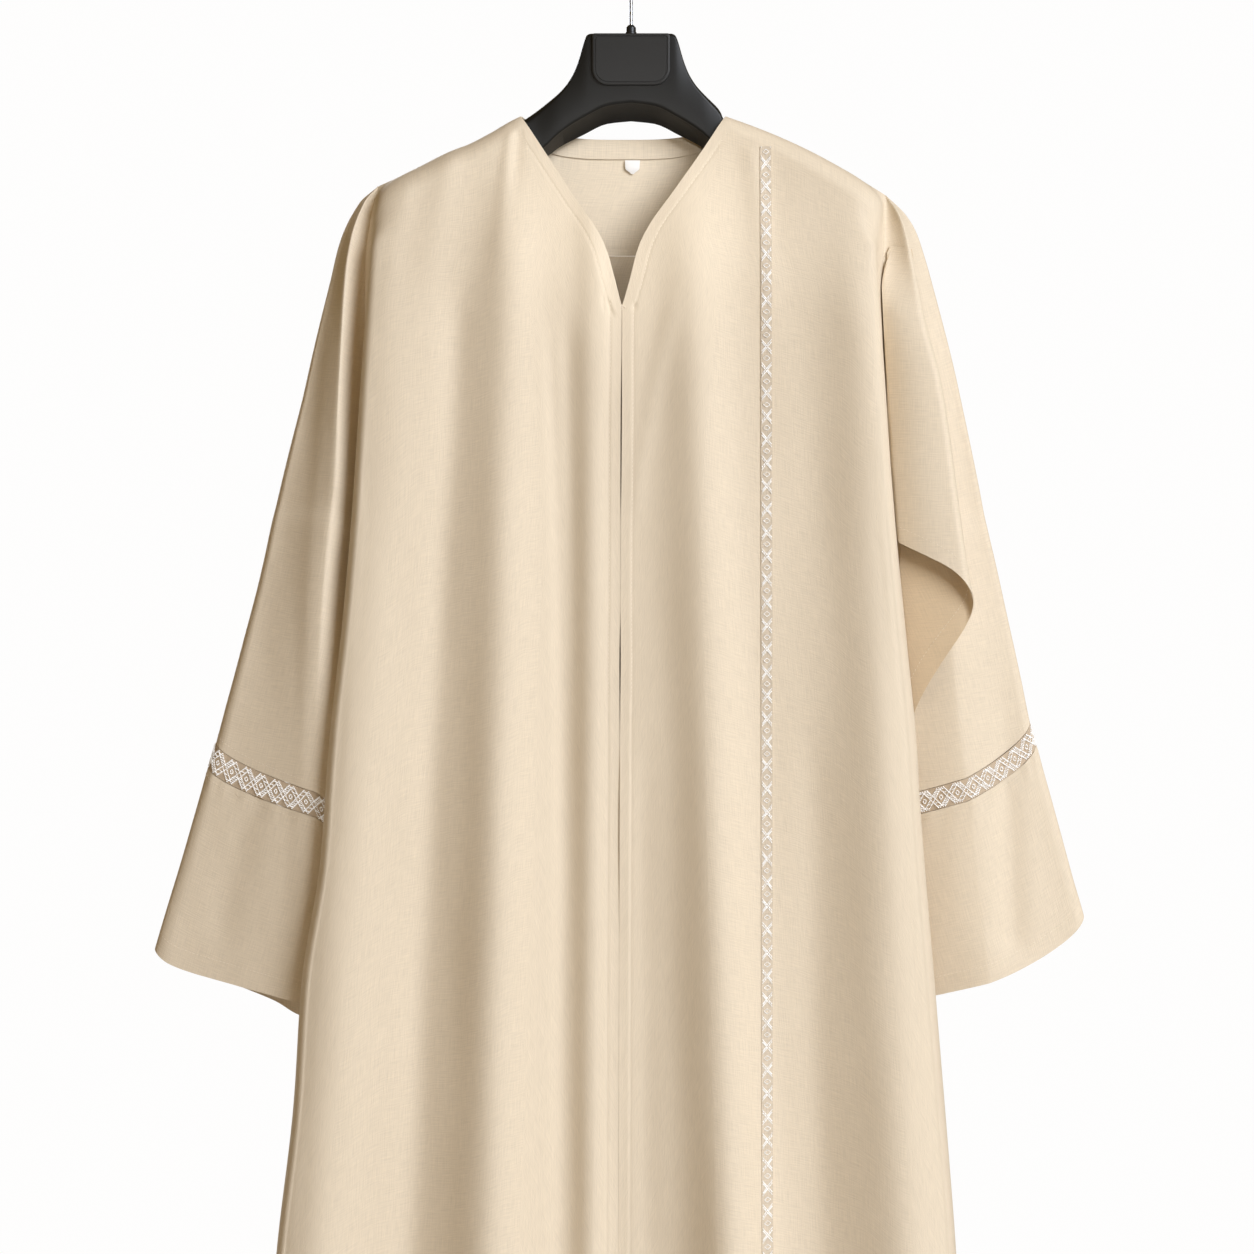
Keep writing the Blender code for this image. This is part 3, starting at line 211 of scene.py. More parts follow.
# Sleeves: silhouette edge, the ridge beside the armhole valley, inner edge behind the body
SLEEVE = {
    RIGHT: columns("z outer ridge inner", [
        (-206.4, 214, 214, 214), (-220, 230.4, 225, 219), (-252, 246.5, 236, 224),
        (-286, 255, 240.5, 226.5), (-354, 272, 244, 226), (-388, 279.7, 245.5, 223.5),
        (-456, 296.7, 248, 212), (-490, 304.5, 251.5, 206.5), (-524, 312, 255, 216),
        (-592, 329, 260, 226.5), (-660, 346.8, 264, 237.5), (-728, 367.2, 265, 243.5),
        (-796, 387.6, 266, 248), (-855, 404.6, 271, 257), (-925, 424, 278, 264.5)]),
    LEFT: columns("z outer ridge inner", [
        (-214, 215.9, 215.9, 215.9), (-231, 233.8, 226, 215.5), (-245, 242.3, 231, 214.8),
        (-265, 249.1, 235, 214.5), (-292, 256.7, 239, 215), (-354, 272.9, 247, 214.5),
        (-388, 280.5, 250, 212.5), (-456, 295, 256, 203.5), (-497, 302.5, 260, 194.5),
        (-530, 310, 264, 204), (-592, 323.9, 270, 215), (-660, 338.3, 276, 222.5),
        (-728, 357, 284, 226.5), (-796, 375.7, 292, 232), (-827, 385, 296, 234.5),
        (-905, 403, 304, 240.5)]),
}
SLEEVE_DEPTH = {
    RIGHT: columns("z middle front back", [
        (-206.4, 0, 0, 0), (-230, 5, 12, 12), (-286, 7, 21, 20), (-388, 8, 30, 22), (-490, 8, 35, 20),
        (-592, 9, 37, 18), (-728, 10, 35, 18), (-925, 12, 32, 20)]),
    LEFT: columns("z middle front back", [
        (-214, 0, 0, 0), (-236, 5, 13, 14), (-286, 7, 16, 20), (-388, 8, 17, 22), (-497, 9, 17, 20),
        (-592, 9, 17, 18), (-728, 10, 20, 18), (-905, 12, 24, 20)]),
}
RIDGE_SHARE = 0.74
INNER_HALF = 3.6
# Edges of the braid band and of the cuff: height at the outer edge and fall to the inner edge
TRIM_TOP = {RIGHT: (-679.0, 55.0), LEFT: (-662.0, 64.0)}
TRIM_LOW = {RIGHT: (-700.0, 55.0), LEFT: (-681.0, 64.0)}
CUFF_HEM = {
    RIGHT: columns("share z", [(0, -855), (0.17, -867.7), (0.49, -884), (0.65, -893), (0.79, -902),
                               (0.9, -913), (1, -918)]),
    LEFT: columns("share z", [(0, -827), (0.265, -848.2), (0.584, -872), (0.873, -890.7), (1, -899)]),
}

# The folded flap before the left sleeve: its right fold, and its hem from the front layer's
# inner corner round the fold to the back layer's inner corner
FLAP_TOP_Z = -258.0
FLAP_FOLD = columns("z out", [
    (-258, 237), (-276, 240), (-319, 247), (-379, 261.5), (-519, 280.5), (-545, 284.5),
    (-560, 287.2), (-575, 287.4), (-690, 287.4)])
FLAP_HEM = columns("share z", [
    (0, -497.7), (0.12, -511), (0.25, -522), (0.37, -533), (0.44, -545), (0.5, -562),
    (0.56, -577), (0.62, -592), (0.72, -614), (0.85, -644), (1, -690)])
FLAP_ROOT = columns("z out", [
    (-258, 223), (-276, 215), (-296, 211.5), (-367, 214.6), (-423, 218.5), (-499, 222.3),
    (-540, 226.5), (-690, 240)])
FLAP_LIFT_TOP, FLAP_LIFT_LOW, FLAP_LIFT_OVER = 1.6, 0.6, 70.0
FLAP_TURN, FLAP_SINK = 0.16, 0.78
FLAP_DEPTH = columns("z front back", [
    (-258, -17, -12), (-300, -27, -16), (-400, -38, -23), (-500, -42, -27), (-690, -42, -27)])
FLAP_TILT_FRONT, FLAP_TILT_BACK, FLAP_TILT_OVER, FLAP_TILT_CURVE = 15.0, 10.0, 120.0, 1.5
FLAP_FRONT_CURVE = 2.4
# Its top slopes down to the fold; the fold's half width at the top and how much it grows below;
# how it tucks under behind the body's edge
FLAP_TOP_FALL, FLAP_ROW_CURVE = 6.0, 1.1
FLAP_TURN_TOP, FLAP_TURN_GROWTH, FLAP_GROW_OVER = 2.0, 5.0, 60.0
FLAP_CLEAR, FLAP_ROOT_IN, FLAP_BACK_CLEAR = 2.2, 3.0, 1.6
FLAP_TUCK_IN, FLAP_TUCK_DEPTH, FLAP_TUCK_OVER = 1.5, 9.0, 40.0

# How a body section closes: the panel's rounded edge, its inset on the back and its way to the seam
EDGE_TURN, EDGE_TURN_DEPTH, EDGE_TURN_FADE = 9.0, 0.32, 60.0
BACK_EDGE_INSET = 2.5
RETURN_CURVE = 1.25
BACK_NECK_CURVE = 3.5
FOLD_REACH = (-0.2, 1.58)

# How a sleeve section runs: the front rises from the outer edge to the ridge and sinks to the
# armhole valley, with a flatter shelf beside it low down; the back is a lens, deepest near the
# outer edge
RISE_ROUND, RISE_ROUND_SHARE, RISE_CURVE, RISE_SPREAD = 0.24, 0.12, 1.5, 1.4
CREST_ROUND = 0.14
VALLEY_CURVE = 1.4
SHELF_TOP_Z, SHELF_BLEND, SHELF_FALL, SHELF_CURVE = -500.0, 200.0, 0.4, 0.75
LENS_ROUND, LENS_ROUND_SHARE, LENS_DEPTH, LENS_SPREAD = 0.35, 0.06, 4.6, 1.3
INNER_ROUND_SHARE = 0.08
SLEEVE_BLEND = 80.0
SLEEVE_GAP_LOW = 1.0

# Grid sizes
NECK_COLUMNS, SHOULDER_COLUMNS = 7, 7
PANEL_DROPS = (0, 1.3, 5, 11, 19, 30, 48, 76, 112, 160, 220, 290, 370, 460, 560, 680, 820, 980, 1180,
               1418)
YOKE_NECK_COLUMNS = 6
YOKE_DROPS = (0, 1.3, 5, 11, 19, 30, 48, 74, 110)
SKIRT_COLUMNS, SKIRT_ROWS = 11, 14
# How many times finer the shown cloth is than these
FRONT_FINE, FRONT_ROWS_FINE, ARMHOLE_FINE = 5, 8, 12
BACK_FINE, SLEEVE_FINE = 4, 4
SLEEVE_LEVELS = np.union1d(denser(BASE_LEVELS, SLEEVE_FINE), [RIDGE_SHARE])
# Rows and columns of the shown sleeves and flap
BAND_ROWS, CUFF_ROWS, UPPER_ROWS = 10, 30, 90
FLAP_COLUMNS, FLAP_ROWS = 90, 60
# Extra columns along a front's edge, and how its creases fade towards its own edges
EDGE_SHARES = np.linspace(0, 0.06, 19)
RELIEF_FADE, RELIEF_TURN = 12.0, 0.03
# The shown wall, and how the front's grid is evened out near the shoulder point
SHELL = 0.9
CORNER_NEAR, CORNER_FAR, CORNER_TIMES = 12.0, 16.0, 30
# How a sleeve's strip starts below the shoulder point, and its seam allowances
UPPER_ROW_CURVE, UPPER_START = 1.25, 0.4
ALLOWANCE_BLEND, ALLOWANCE_IN, ALLOWANCE_OUT, ALLOWANCE_DEPTH = 25.0, 2.5, 4.5, 0.82

# Small pieces
TRIM_X, TRIM_LIFT, TRIM_START = (108.7, 118.4), 0.6, 14.0
FACING_X, FACING_FALL, FACING_LIFT = (-72.0, 60.0), 17.0, 0.75
FACING_ROWS, FACING_COLUMNS, FACING_WALL = 12, 80, 0.7
LABEL_X, LABEL_TOP_Z, LABEL_TIP_Z = (-5.1, 7.7), -181.5, -193.0
LABEL_ROWS, LABEL_COLUMNS, LABEL_WALL = 14, 13, 0.5
LABEL_LIFT, LABEL_BULGE, LABEL_TAPER = 0.6, 1.2, 0.12
# The thread loop at the neckline's point: its middle, half width, half height and thickness
LOOP_X, LOOP_Z, LOOP_WIDE, LOOP_HIGH, LOOP_THREAD = -7.6, -313.5, 2.6, 1.5, 0.45

# Hanger
HANGER_TOP_GAP, HANGER_END = 0.7, 198.0
HANGER_HALF = columns("out half", [
    (0, 10.5), (60, 9), (80, 7.5), (92, 8.5), (110, 13.5), (150, 18), (198, 23)])
HANGER_END_HALF, HANGER_END_ROUND = 0.7, 20.0
HANGER_CORNER, HANGER_FOOT, CREST_OUT, CREST_BLEND = 4.0, 3.0, 55.0, 40.0
HANGER_TOP = columns("out left right", [
    (0, -78, -78), (20, -78, -78), (34, -78.2, -78.2), (37.2, -79.4, -79.4),
    (39, -82.5, -82.5), (40.8, -88, -88), (42.5, -94, -94), (44.2, -99.8, -99.8),
    (46.2, -105.5, -105.5), (48.7, -111.5, -111.5), (52, -117.4, -117.4), (56.2, -123.3, -123.3),
    (61.7, -129.2, -129), (68, -135.2, -134.2), (73.5, -140.5, -138.4), (76.5, -145, -140.7),
    (78.2, -149.2, -142), (79.5, -150.1, -142.9), (86, -150.2, -147.4), (91, -150.3, -150.3),
    (94, -150.4, -150.4), (110, -158, -158), (130, -168, -168), (150, -176, -176), (170, -186, -186),
    (188, -195, -195), (198, -200, -200)])
HANGER_LOW = columns("out z slant", [
    (0, -137.5, 12.6), (20, -140.2, 12.2), (40, -149.8, 11.8), (60, -162.5, 9.5), (73, -174.5, 7),
    (94, -190, 2), (120, -200, 0), (160, -214, 0), (198, -228, 0)])
PLATE_X, PLATE_TOP_Z, PLATE_LOW_Z = (-33.0, 33.0), -79.0, -122.9
PLATE_CORNER, PLATE_TOP_CORNER = 13.6, 2.2
# Its rounded edge and the groove round its face: how far in and how far out from the body
PLATE_LEVELS = ((0.0, -0.1), (0.0, 1.0), (0.25, 1.55), (0.8, 1.8), (2.0, 1.8), (2.35, 1.35),
                (2.9, 1.35), (3.25, 1.8))
# Its edges are shaded sharp above this angle: the edge's rounding isn't, the groove's sides are
PLATE_SHARP = 41.7
WIRE, HOOK_RADIUS, HOOK_TURN = 3.0, 22.0, math.radians(290)
COLLAR_TOP_Z = -69.5
COLLAR_PROFILE = ((4.7, -77.6), (4.7, -76.0), (4.2, -75.6), (4.2, -72.1), (3.8, -71.5),
                  (2.4, -69.9), (1.6, COLLAR_TOP_Z))

# Sewing: where the placket's and the neck edge's stitching runs, how the cloth stands and dents
# there, where the rows end, and a stitch with its thread
PLACKET, PLACKET_UP, PLACKET_DENT = 9.2, 0.45, 0.35
NECK_HEM, NECK_DENT = 11.0, 0.3
PLACKET_END_Z, HEM_TURN, HEM_STITCH_X = -645.0, 28.0, (14.0, 280.0)
STITCH, STITCH_GAP, THREAD = 2.7, 0.8, 0.28
STITCH_SINK, STITCH_SIDE_UP, STITCH_TOP, STITCH_UNDER = 0.05, 0.12, 0.42, 0.25

# Braid: bead size, where rungs cross a pair of strands (for even and odd pairs), the small
# squares' size, and what a repeat, the strands' spacing and their lean measure on each braid
BEAD, TRIM_BEAD = 1.3, 1.05
BEAD_RADIUS, BEAD_JITTER, BEAD_SINK = 0.44, 0.10, 0.7
RUNGS = ((0.1, 0.19, 0.28, 0.37, 0.72, 0.9), (0.1, 0.28, 0.63, 0.72, 0.81, 0.9))
SQUARE_SHARE = 0.11
BAND_PITCH, BAND_APART, BAND_LEAN = 14.5, 4.2, 0.72
TRIM_PITCH, TRIM_APART, TRIM_LEAN = 19.5, 2.4, 1.05

# How close the flap's root lies to the sleeve, from the front layer to the back layer; its
# ripples; the rows and columns that its hem stitches follow on both layers
FLAP_REST, FLAP_REST_BACK, FLAP_REST_OVER = 2.1, 0.4, 60.0
FLAP_REST_FROM, FLAP_REST_WIDE = 0.42, 0.16
FLAP_RIPPLE, FLAP_PHASE, FLAP_SEAM_SHARE = 0.7, 3.0, 0.12
FLAP_STITCHES, FLAP_BACK_STITCHES = (-4, slice(3, 45)), (-5, slice(46, 88))

# Sleeve cloth: how far from its seams the ripples fade, and the gathers and seam below the braid
RIPPLE_TOP, RIPPLE_LOW, SEAM_SHARE, CUFF_RIPPLE_TOP = 0.2, 0.06, 0.08, 0.05
GATHER_HIGH, GATHER_COUNT, GATHER_PHASE, GATHER_FALL = 0.35, 17, 0.6, 0.10
CUFF_SEAM_HIGH, CUFF_SEAM_AT = 0.5, 0.012

# Soft ridges (out > 0) and troughs of the cloth: points, half widths and heights at both ends, and
# how far from each end they fade
CREASES = {
    RIGHT: [
        ([(-101, -160), (-104.5, -191), (-107, -240), (-112, -300)], (3.5, 10), (2.2, 1.2), (8, 60)),
        ([(-95, -158), (-96, -190), (-97, -225)], (3, 5), (-1.4, -0.6), (6, 40)),
        ([(-143, -274), (-151, -425), (-160, -575), (-168, -726), (-176, -876), (-184, -1100),
          (-200, -1560)], (12, 18), (-2.5, -5.0), (60, 20)),
        ([(-69, -308), (-63, -475), (-59.5, -642), (-59.5, -809), (-61, -977), (-62, -1100),
          (-64, -1565)], (6, 8), (-1.6, -2.6), (60, 10)),
        ([(-54, -300), (-52, -475), (-51, -642), (-51, -809), (-51, -1565)], (10, 10), (-3.2, -3.0),
         (60, 10)),
        ([(-20.1, -305), (-17.6, -314.6), (-13.8, -323)], (1.6, 2.2), (-1.1, -0.7), (3, 6)),
        ([(-23.2, -303), (-23.0, -319)], (1.4, 1.4), (-0.8, -0.5), (3, 5)),
        ([(-30, -262), (-22, -330), (-24, -420)], (4, 6), (0.8, 0.5), (20, 50)),
        ([(-150, -178), (-163, -240), (-172, -330)], (9, 14), (1.6, 0.6), (15, 60)),
        ([(-190, -200), (-200, -262), (-205, -350)], (7, 12), (1.5, 0.8), (15, 60)),
    ],
    LEFT: [
        ([(39, -291), (21, -376), (7.5, -447), (4, -500)], (8, 7), (1.4, 0.8), (40, 30)),
        ([(1.5, -309), (4.5, -317)], (1.6, 2.0), (-1.0, -0.6), (2.5, 4)),
        ([(14, -640), (10, -760), (12, -900), (14, -1100), (16, -1565)], (9, 10), (-1.0, -1.5), (90, 10)),
        ([(150, -640), (154, -900), (158, -1100), (162, -1565)], (14, 18), (-1.6, -3.0), (90, 10)),
        ([(100, -170), (112, -260), (120, -360)], (7, 12), (1.6, 0.6), (15, 60)),
        ([(205, -262), (209, -400), (226, -600), (240, -760), (256, -940)], (5, 9), (1.4, 1.6), (40, 80)),
    ],
}
SLEEVE_CREASES = {
    RIGHT: [
        ([(-250, -290), (-262, -420), (-272, -560), (-276, -700), (-280, -800), (-284, -910)],
         (7, 6), (1.2, 0.4), (60, 20)),
        ([(-300, -700), (-330, -760), (-352, -860)], (10, 14), (-1.0, -1.2), (40, 30)),
        ([(-262, -250), (-284, -360), (-300, -470)], (8, 12), (1.2, 0.8), (30, 60)),
    ],
    LEFT: [
        ([(316, -600), (319, -700), (321, -800), (324, -870)], (11, 13), (-2.2, -5.0), (120, 30)),
        ([(262, -690), (285, -760), (300, -860)], (10, 14), (-0.8, -1.0), (40, 30)),
        ([(262, -260), (288, -380), (308, -520)], (8, 12), (1.2, 0.8), (30, 60)),
    ],
}
# Faint unevenness, as a sum of waves: half their phase per mm across and down, height, start
RIPPLES = [(0.021, 0.004, 0.30, 0.4), (0.047, -0.007, 0.16, 2.1), (0.013, 0.011, 0.35, 4.0),
           (0.083, 0.012, 0.08, 1.3), (-0.034, 0.017, 0.14, 5.2)]

# Colours
LINEN = (0.80, 0.688, 0.528)
# The flap's inner face is darker than the linen: painted shade, standing in for the shade inside the folded
# flap
INSIDE_PAINTED_SHADE = (0.70, 0.545, 0.36)

# Stage, in metres: the camera, the lamps (name, place, aim, size, power, colour), the narrow
# lamp into the neck, the surrounding light and the floor
CAMERA_AT, CAMERA_LENS = (-0.0034, -2.4, -0.58125), 81.06
KEY_COLOUR, WHITE = (0.95, 1.0, 1.09), (1.0, 1.0, 1.0)
LAMPS = (
    ("key", (3.0, -3.62, 1.51), (0.0, 0.0, -0.65), 3.0, 262.0, KEY_COLOUR),
    ("fill", (-0.3, -3.2, 0.1), (0.0, 0.0, -0.5), 1.2, 1.5, WHITE),
    ("back", (-1.6, 4.0, 0.5), (0.0, 0.0, -0.9), 2.6, 110.0, KEY_COLOUR))
NECK_AT, NECK_AIM, NECK_POWER = (-0.06, -2.4, -0.24), (0.002, 0.02, -0.225), 120.0
NECK_CONE, NECK_BLEND, NECK_SIZE = math.radians(4.0), 0.9, 0.1
AMBIENT, AMBIENT_COLOUR = 0.19, (1.0, 0.64, 0.18, 1.0)
BACKDROP, BACKDROP_COLOUR = 0.99, (1.0, 0.995, 0.99, 1.0)
FLOOR_Z, FLOOR_RADIUS, FLOOR_SIDES = -1.75, 2.3, 96


def ridge_z(side, out):
    """Height of the shoulder seam at a distance from x = 0; level across the neck."""
    line = SHOULDER_LINE[side]
    return np.where(out <= NECK_X[side], NECK_Z, read(line, "z", out, key="out"))


def folds(table, x, z):
    """Sum of the ridges of a fold table at x, z."""
    t = np.clip((z - FOLD_TOP_Z) / (FOLD_LOW_Z - FOLD_TOP_Z), *FOLD_REACH)
    total = np.zeros(np.broadcast(x, z).shape)
    for row in range(len(table["x_top"])):
        centre = mix(table["x_top"][row], table["x_low"][row], t)
        wide = mix(table["wide_top"][row], table["wide_low"][row], t)
        out = mix(table["out_top"][row], table["out_low"][row], t)
        total += out * np.exp(-((x - centre) / wide) ** 2)
    return total


def pleat(x, z):
    """Height of the centre-back box pleat, which starts at the yoke seam."""
    t = np.clip((YOKE_SEAM_Z - z) / (YOKE_SEAM_Z - HEM_Z), 0, 1)
    half = mix(PLEAT["half_top"], PLEAT["half_low"], t)
    out = mix(PLEAT["out_top"], PLEAT["out_low"], t)
    flank = mix(PLEAT["flank_top"], PLEAT["flank_low"], t)
    shape = smooth((half + flank - np.abs(x - PLEAT["centre"])) / flank)
    return np.where(z > YOKE_SEAM_Z, 0.0, out * shape)


def body_y(x, z, face):
    """Depth of the front (face -1) or back (face 1) of the body at x, z."""
    out = np.abs(x)
    side_z = np.where(x < 0, ridge_z(RIGHT, out), ridge_z(LEFT, out))
    drop = np.maximum(side_z - z, 0.0)
    name = "front" if face < 0 else "back"
    radius = read(RIDGE_DEPTH, name, out, key="out")
    hanging = np.maximum(read(BODY_DEPTH, name, z) - radius, 0.0)
    if face < 0:
        hanging = hanging + folds(FRONT_FOLDS, x, z)
    else:
        hanging = hanging + folds(BACK_FOLDS, x, z) + pleat(x, z)
    return face * quarter(drop / radius) * (radius + hanging * smooth(drop / FOLD_FADE))


def armhole_y(side, z, face):
    """Depth of the armhole seam at z, on the front (face -1) or back (face 1)."""
    name = "front" if face < 0 else "back"
    return read(ARMHOLE_DEPTH, name, np.maximum(SHOULDER_Z[side] - z, 0.0), key="drop")


def seam_out(side, z):
    """Where the section of a body panel ends: the shoulder seam, then the armhole and side seams."""
    line = SHOULDER_LINE[side]
    backwards = {"z": line["z"], "out": line["out"]}
    return np.where(z > SHOULDER_Z[side], read(backwards, "out", z), read(BODY_SIDE[side], "seam", z))


def across(side, share, z, face, start):
    """Point of a body section: from its start across the panel, round its edge, back to the seam."""
    below = smooth((SHOULDER_Z[side] - z) / EDGE_TURN_FADE)
    first = 1 - (1 - ACROSS_SHARE) * below
    second = 1 - (1 - TURN_SHARE) * below
    seam = seam_out(side, z)
    inset = BACK_EDGE_INSET * below if face > 0 else 0.0
    edge = np.where(z > SHOULDER_Z[side], seam, read(BODY_SIDE[side], "edge", z) - inset)
    turn = EDGE_TURN * below
    flat_end = edge - turn
    seam_y = np.where(z > SHOULDER_Z[side], 0.0, armhole_y(side, z, face))
    edge_y = body_y(side * flat_end, z, face)
    turn_y = EDGE_TURN_DEPTH * (seam_y - edge_y)
    t_flat = np.clip(share / first, 0, 1)
    t_turn = np.clip((share - first) / np.maximum(second - first, 1e-6), 0, 1)
    t_back = np.clip((share - second) / np.maximum(1 - second, 1e-6), 0, 1)
    out = mix(start, flat_end, t_flat)
    y = body_y(side * out, z, face)
    angle = t_turn * math.pi / 2
    turning, returning = share > first, share > second
    out = np.where(turning, flat_end + turn * np.sin(angle), out)
    y = np.where(turning, edge_y + turn_y * (1 - np.cos(angle)), y)
    out = np.where(returning, mix(edge, seam, t_back ** RETURN_CURVE), out)
    y = np.where(returning, mix(edge_y + turn_y, seam_y, t_back), y)
    return out, y


def front_start(side, z):
    """Distance from x = 0 at which a front begins: the neckline, then the opening's edge."""
    middle = side * read(FRONT_OPENING, "middle", z)
    edge = middle + read(FRONT_OPENING, "apart", z) / 2
    return np.where(z > V_POINT_Z, read(NECKLINE[side], "out", z), edge)


def top_z(side, u):
    """Height of a body panel's top edge at column u: neckline, shoulder seam, armhole."""
    along = (u - NECK_SHARE) / (SHOULDER_SHARE - NECK_SHARE)
    shoulder_out = mix(NECK_X[side], SHOULDER_X[side], along)
    on_neck = mix(V_POINT_Z, NECK_Z, u / NECK_SHARE)
    on_shoulder = ridge_z(side, np.clip(shoulder_out, NECK_X[side] + 1e-6, SHOULDER_X[side]))
    on_armhole = mix(SHOULDER_Z[side], ARMPIT_Z[side], (u - SHOULDER_SHARE) / (1 - SHOULDER_SHARE))
    return np.where(u < NECK_SHARE, on_neck, np.where(u < SHOULDER_SHARE, on_shoulder, on_armhole))


def last_column(side, z):
    """Column u on which the section at z ends."""
    along = (seam_out(side, z) - NECK_X[side]) / (SHOULDER_X[side] - NECK_X[side])
    down = (SHOULDER_Z[side] - z) / (SHOULDER_Z[side] - ARMPIT_Z[side])
    on_shoulder = mix(NECK_SHARE, SHOULDER_SHARE, along)
    on_armhole = mix(SHOULDER_SHARE, 1.0, down)
    return np.where(z > SHOULDER_Z[side], on_shoulder, np.clip(on_armhole, 0, 1))


def front_grid(side, shares, drops):
    """Points of a front panel, from the front edge to the side seam."""
    u, v = np.meshgrid(shares, drops)
    z = mix(top_z(side, u), HEM_Z, v)
    first = np.clip(NECK_SHARE * (z - V_POINT_Z) / (NECK_Z - V_POINT_Z), 0, NECK_SHARE)
    span = np.maximum(last_column(side, z) - first, 1e-6)
    share = np.clip((u - first) / span, 0, 1)
    out, y = across(side, share, z, -1, front_start(side, z))
    return np.stack([side * out, y - SEAM_GAP / 2, z], axis=-1)


def back_neck_z(x):
    """Height of the back neck's edge."""
    rise = np.clip(np.abs(x - BACK_NECK_CENTRE) / BACK_NECK_HALF, 0, 1) ** BACK_NECK_CURVE
    return mix(BACK_NECK_Z, NECK_Z, rise)


def yoke_half(side, shares, drops):
    """Points of half the yoke, from the centre back to the armhole."""
    u, v = np.meshgrid(shares, drops)
    middle = side * BACK_NECK_CENTRE
    neck_out = mix(middle, NECK_X[side], u / BACK_NECK_SHARE)
    along = (u - BACK_NECK_SHARE) / (1 - BACK_NECK_SHARE)
    shoulder_out = mix(NECK_X[side], SHOULDER_X[side], along)
    on_shoulder = ridge_z(side, np.clip(shoulder_out, NECK_X[side] + 1e-6, SHOULDER_X[side]))
    top = np.where(u < BACK_NECK_SHARE, back_neck_z(side * neck_out), on_shoulder)
    z = mix(top, YOKE_SEAM_Z + SEAM_GAP / 2, v)
    reach = (seam_out(side, z) - NECK_X[side]) / (SHOULDER_X[side] - NECK_X[side])
    reach = mix(BACK_NECK_SHARE, 1.0, reach)
    last = np.where(z > SHOULDER_Z[side], np.maximum(reach, BACK_NECK_SHARE), 1.0)
    out, y = across(side, np.clip(u / last, 0, 1), z, 1, np.full_like(z, middle))
    return np.stack([side * out, y + SEAM_GAP / 2, z], axis=-1)


def skirt_half(side, shares, drops):
    """Points of half the back below the yoke, from the centre back to the armhole and side seam."""
    u, v = np.meshgrid(shares, drops)
    seam_z = YOKE_SEAM_Z - SEAM_GAP / 2
    armhole = (u - SHOULDER_SHARE) / (1 - SHOULDER_SHARE)
    top = np.where(u < SHOULDER_SHARE, seam_z, mix(seam_z, ARMPIT_Z[side], armhole))
    z = mix(top, HEM_Z, v)
    last = mix(SHOULDER_SHARE, 1.0, np.clip((seam_z - z) / (seam_z - ARMPIT_Z[side]), 0, 1))
    start = np.full_like(z, side * BACK_NECK_CENTRE)
    out, y = across(side, np.clip(u / last, 0, 1), z, 1, start)
    return np.stack([side * out, y + SEAM_GAP / 2, z], axis=-1)


def both_halves(half, shares, drops):
    """A back panel from the wearer's left to the right."""
    left = half(LEFT, shares(LEFT), drops)
    right = half(RIGHT, shares(RIGHT), drops)
    return np.concatenate([left[:, ::-1], right[:, 1:]], axis=1)


def sleeve_width(side, z):
    """Outer and inner edge of a sleeve section, and where between them its ridge stands."""
    outer, ridge, inner = (read(SLEEVE[side], name, z) for name in ("outer", "ridge", "inner"))
    return outer, inner, (outer - ridge) / np.maximum(outer - inner, 1e-6)


def sleeve_point(side, share, z, face):
    """Point of a sleeve section: share runs from the outer edge to the inner edge."""
    outer, inner, ridge_at = sleeve_width(side, z)
    middle, front, back = (read(SLEEVE_DEPTH[side], name, z) for name in ("middle", "front", "back"))
    inside = z < ARMPIT_Z[side]
    seam_y = np.where(face < 0, armhole_y(side, z, -1), armhole_y(side, z, 1))
    end_y = np.where(inside, mix(ARMPIT_Y, middle, smooth((ARMPIT_Z[side] - z) / SLEEVE_BLEND)), seam_y)
    before = ridge_at * np.clip(share / RIDGE_SHARE, 0, 1) ** RISE_SPREAD
    beyond = mix(ridge_at, 1.0, np.clip((share - RIDGE_SHARE) / (1 - RIDGE_SHARE), 0, 1))
    at = np.where(share < RIDGE_SHARE, before, beyond)
    up_ridge = np.clip(at / np.maximum(ridge_at, 1e-6), 0, 1)
    rise_before = mix(up_ridge ** RISE_CURVE, quarter(up_ridge / RISE_ROUND_SHARE), RISE_ROUND)
    left_over = np.clip((1 - at) / np.maximum(1 - ridge_at, 1e-6), 0, 1)
    lower = smooth((SHELF_TOP_Z - z) / SHELF_BLEND)
    shelf = smooth(left_over / SHELF_FALL) if side == RIGHT else left_over ** SHELF_CURVE
    rise_beyond = mix(left_over ** VALLEY_CURVE, shelf, lower)
    rise = np.where(share < RIDGE_SHARE, rise_before, rise_beyond)
    rounded = 1 + CREST_ROUND - np.hypot(1 - rise, CREST_ROUND)
    rise = rounded - (1 + CREST_ROUND - math.hypot(1, CREST_ROUND)) * (1 - rise)
    behind = share ** LENS_SPREAD
    lens = LENS_ROUND * quarter(behind / LENS_ROUND_SHARE) * (1 - behind) ** 1.5
    lens = lens + LENS_DEPTH * behind * (1 - behind) ** 2
    at = np.where(face < 0, at, behind)
    base = mix(middle, end_y, at ** 2)
    closed = smooth((ARMPIT_Z[side] + 15 - z) / 20)
    inner_round = INNER_HALF * closed * quarter((1 - at) / INNER_ROUND_SHARE)
    y = np.where(face < 0, base - front * rise - inner_round, base + back * lens + inner_round)
    return mix(outer, inner, at), y


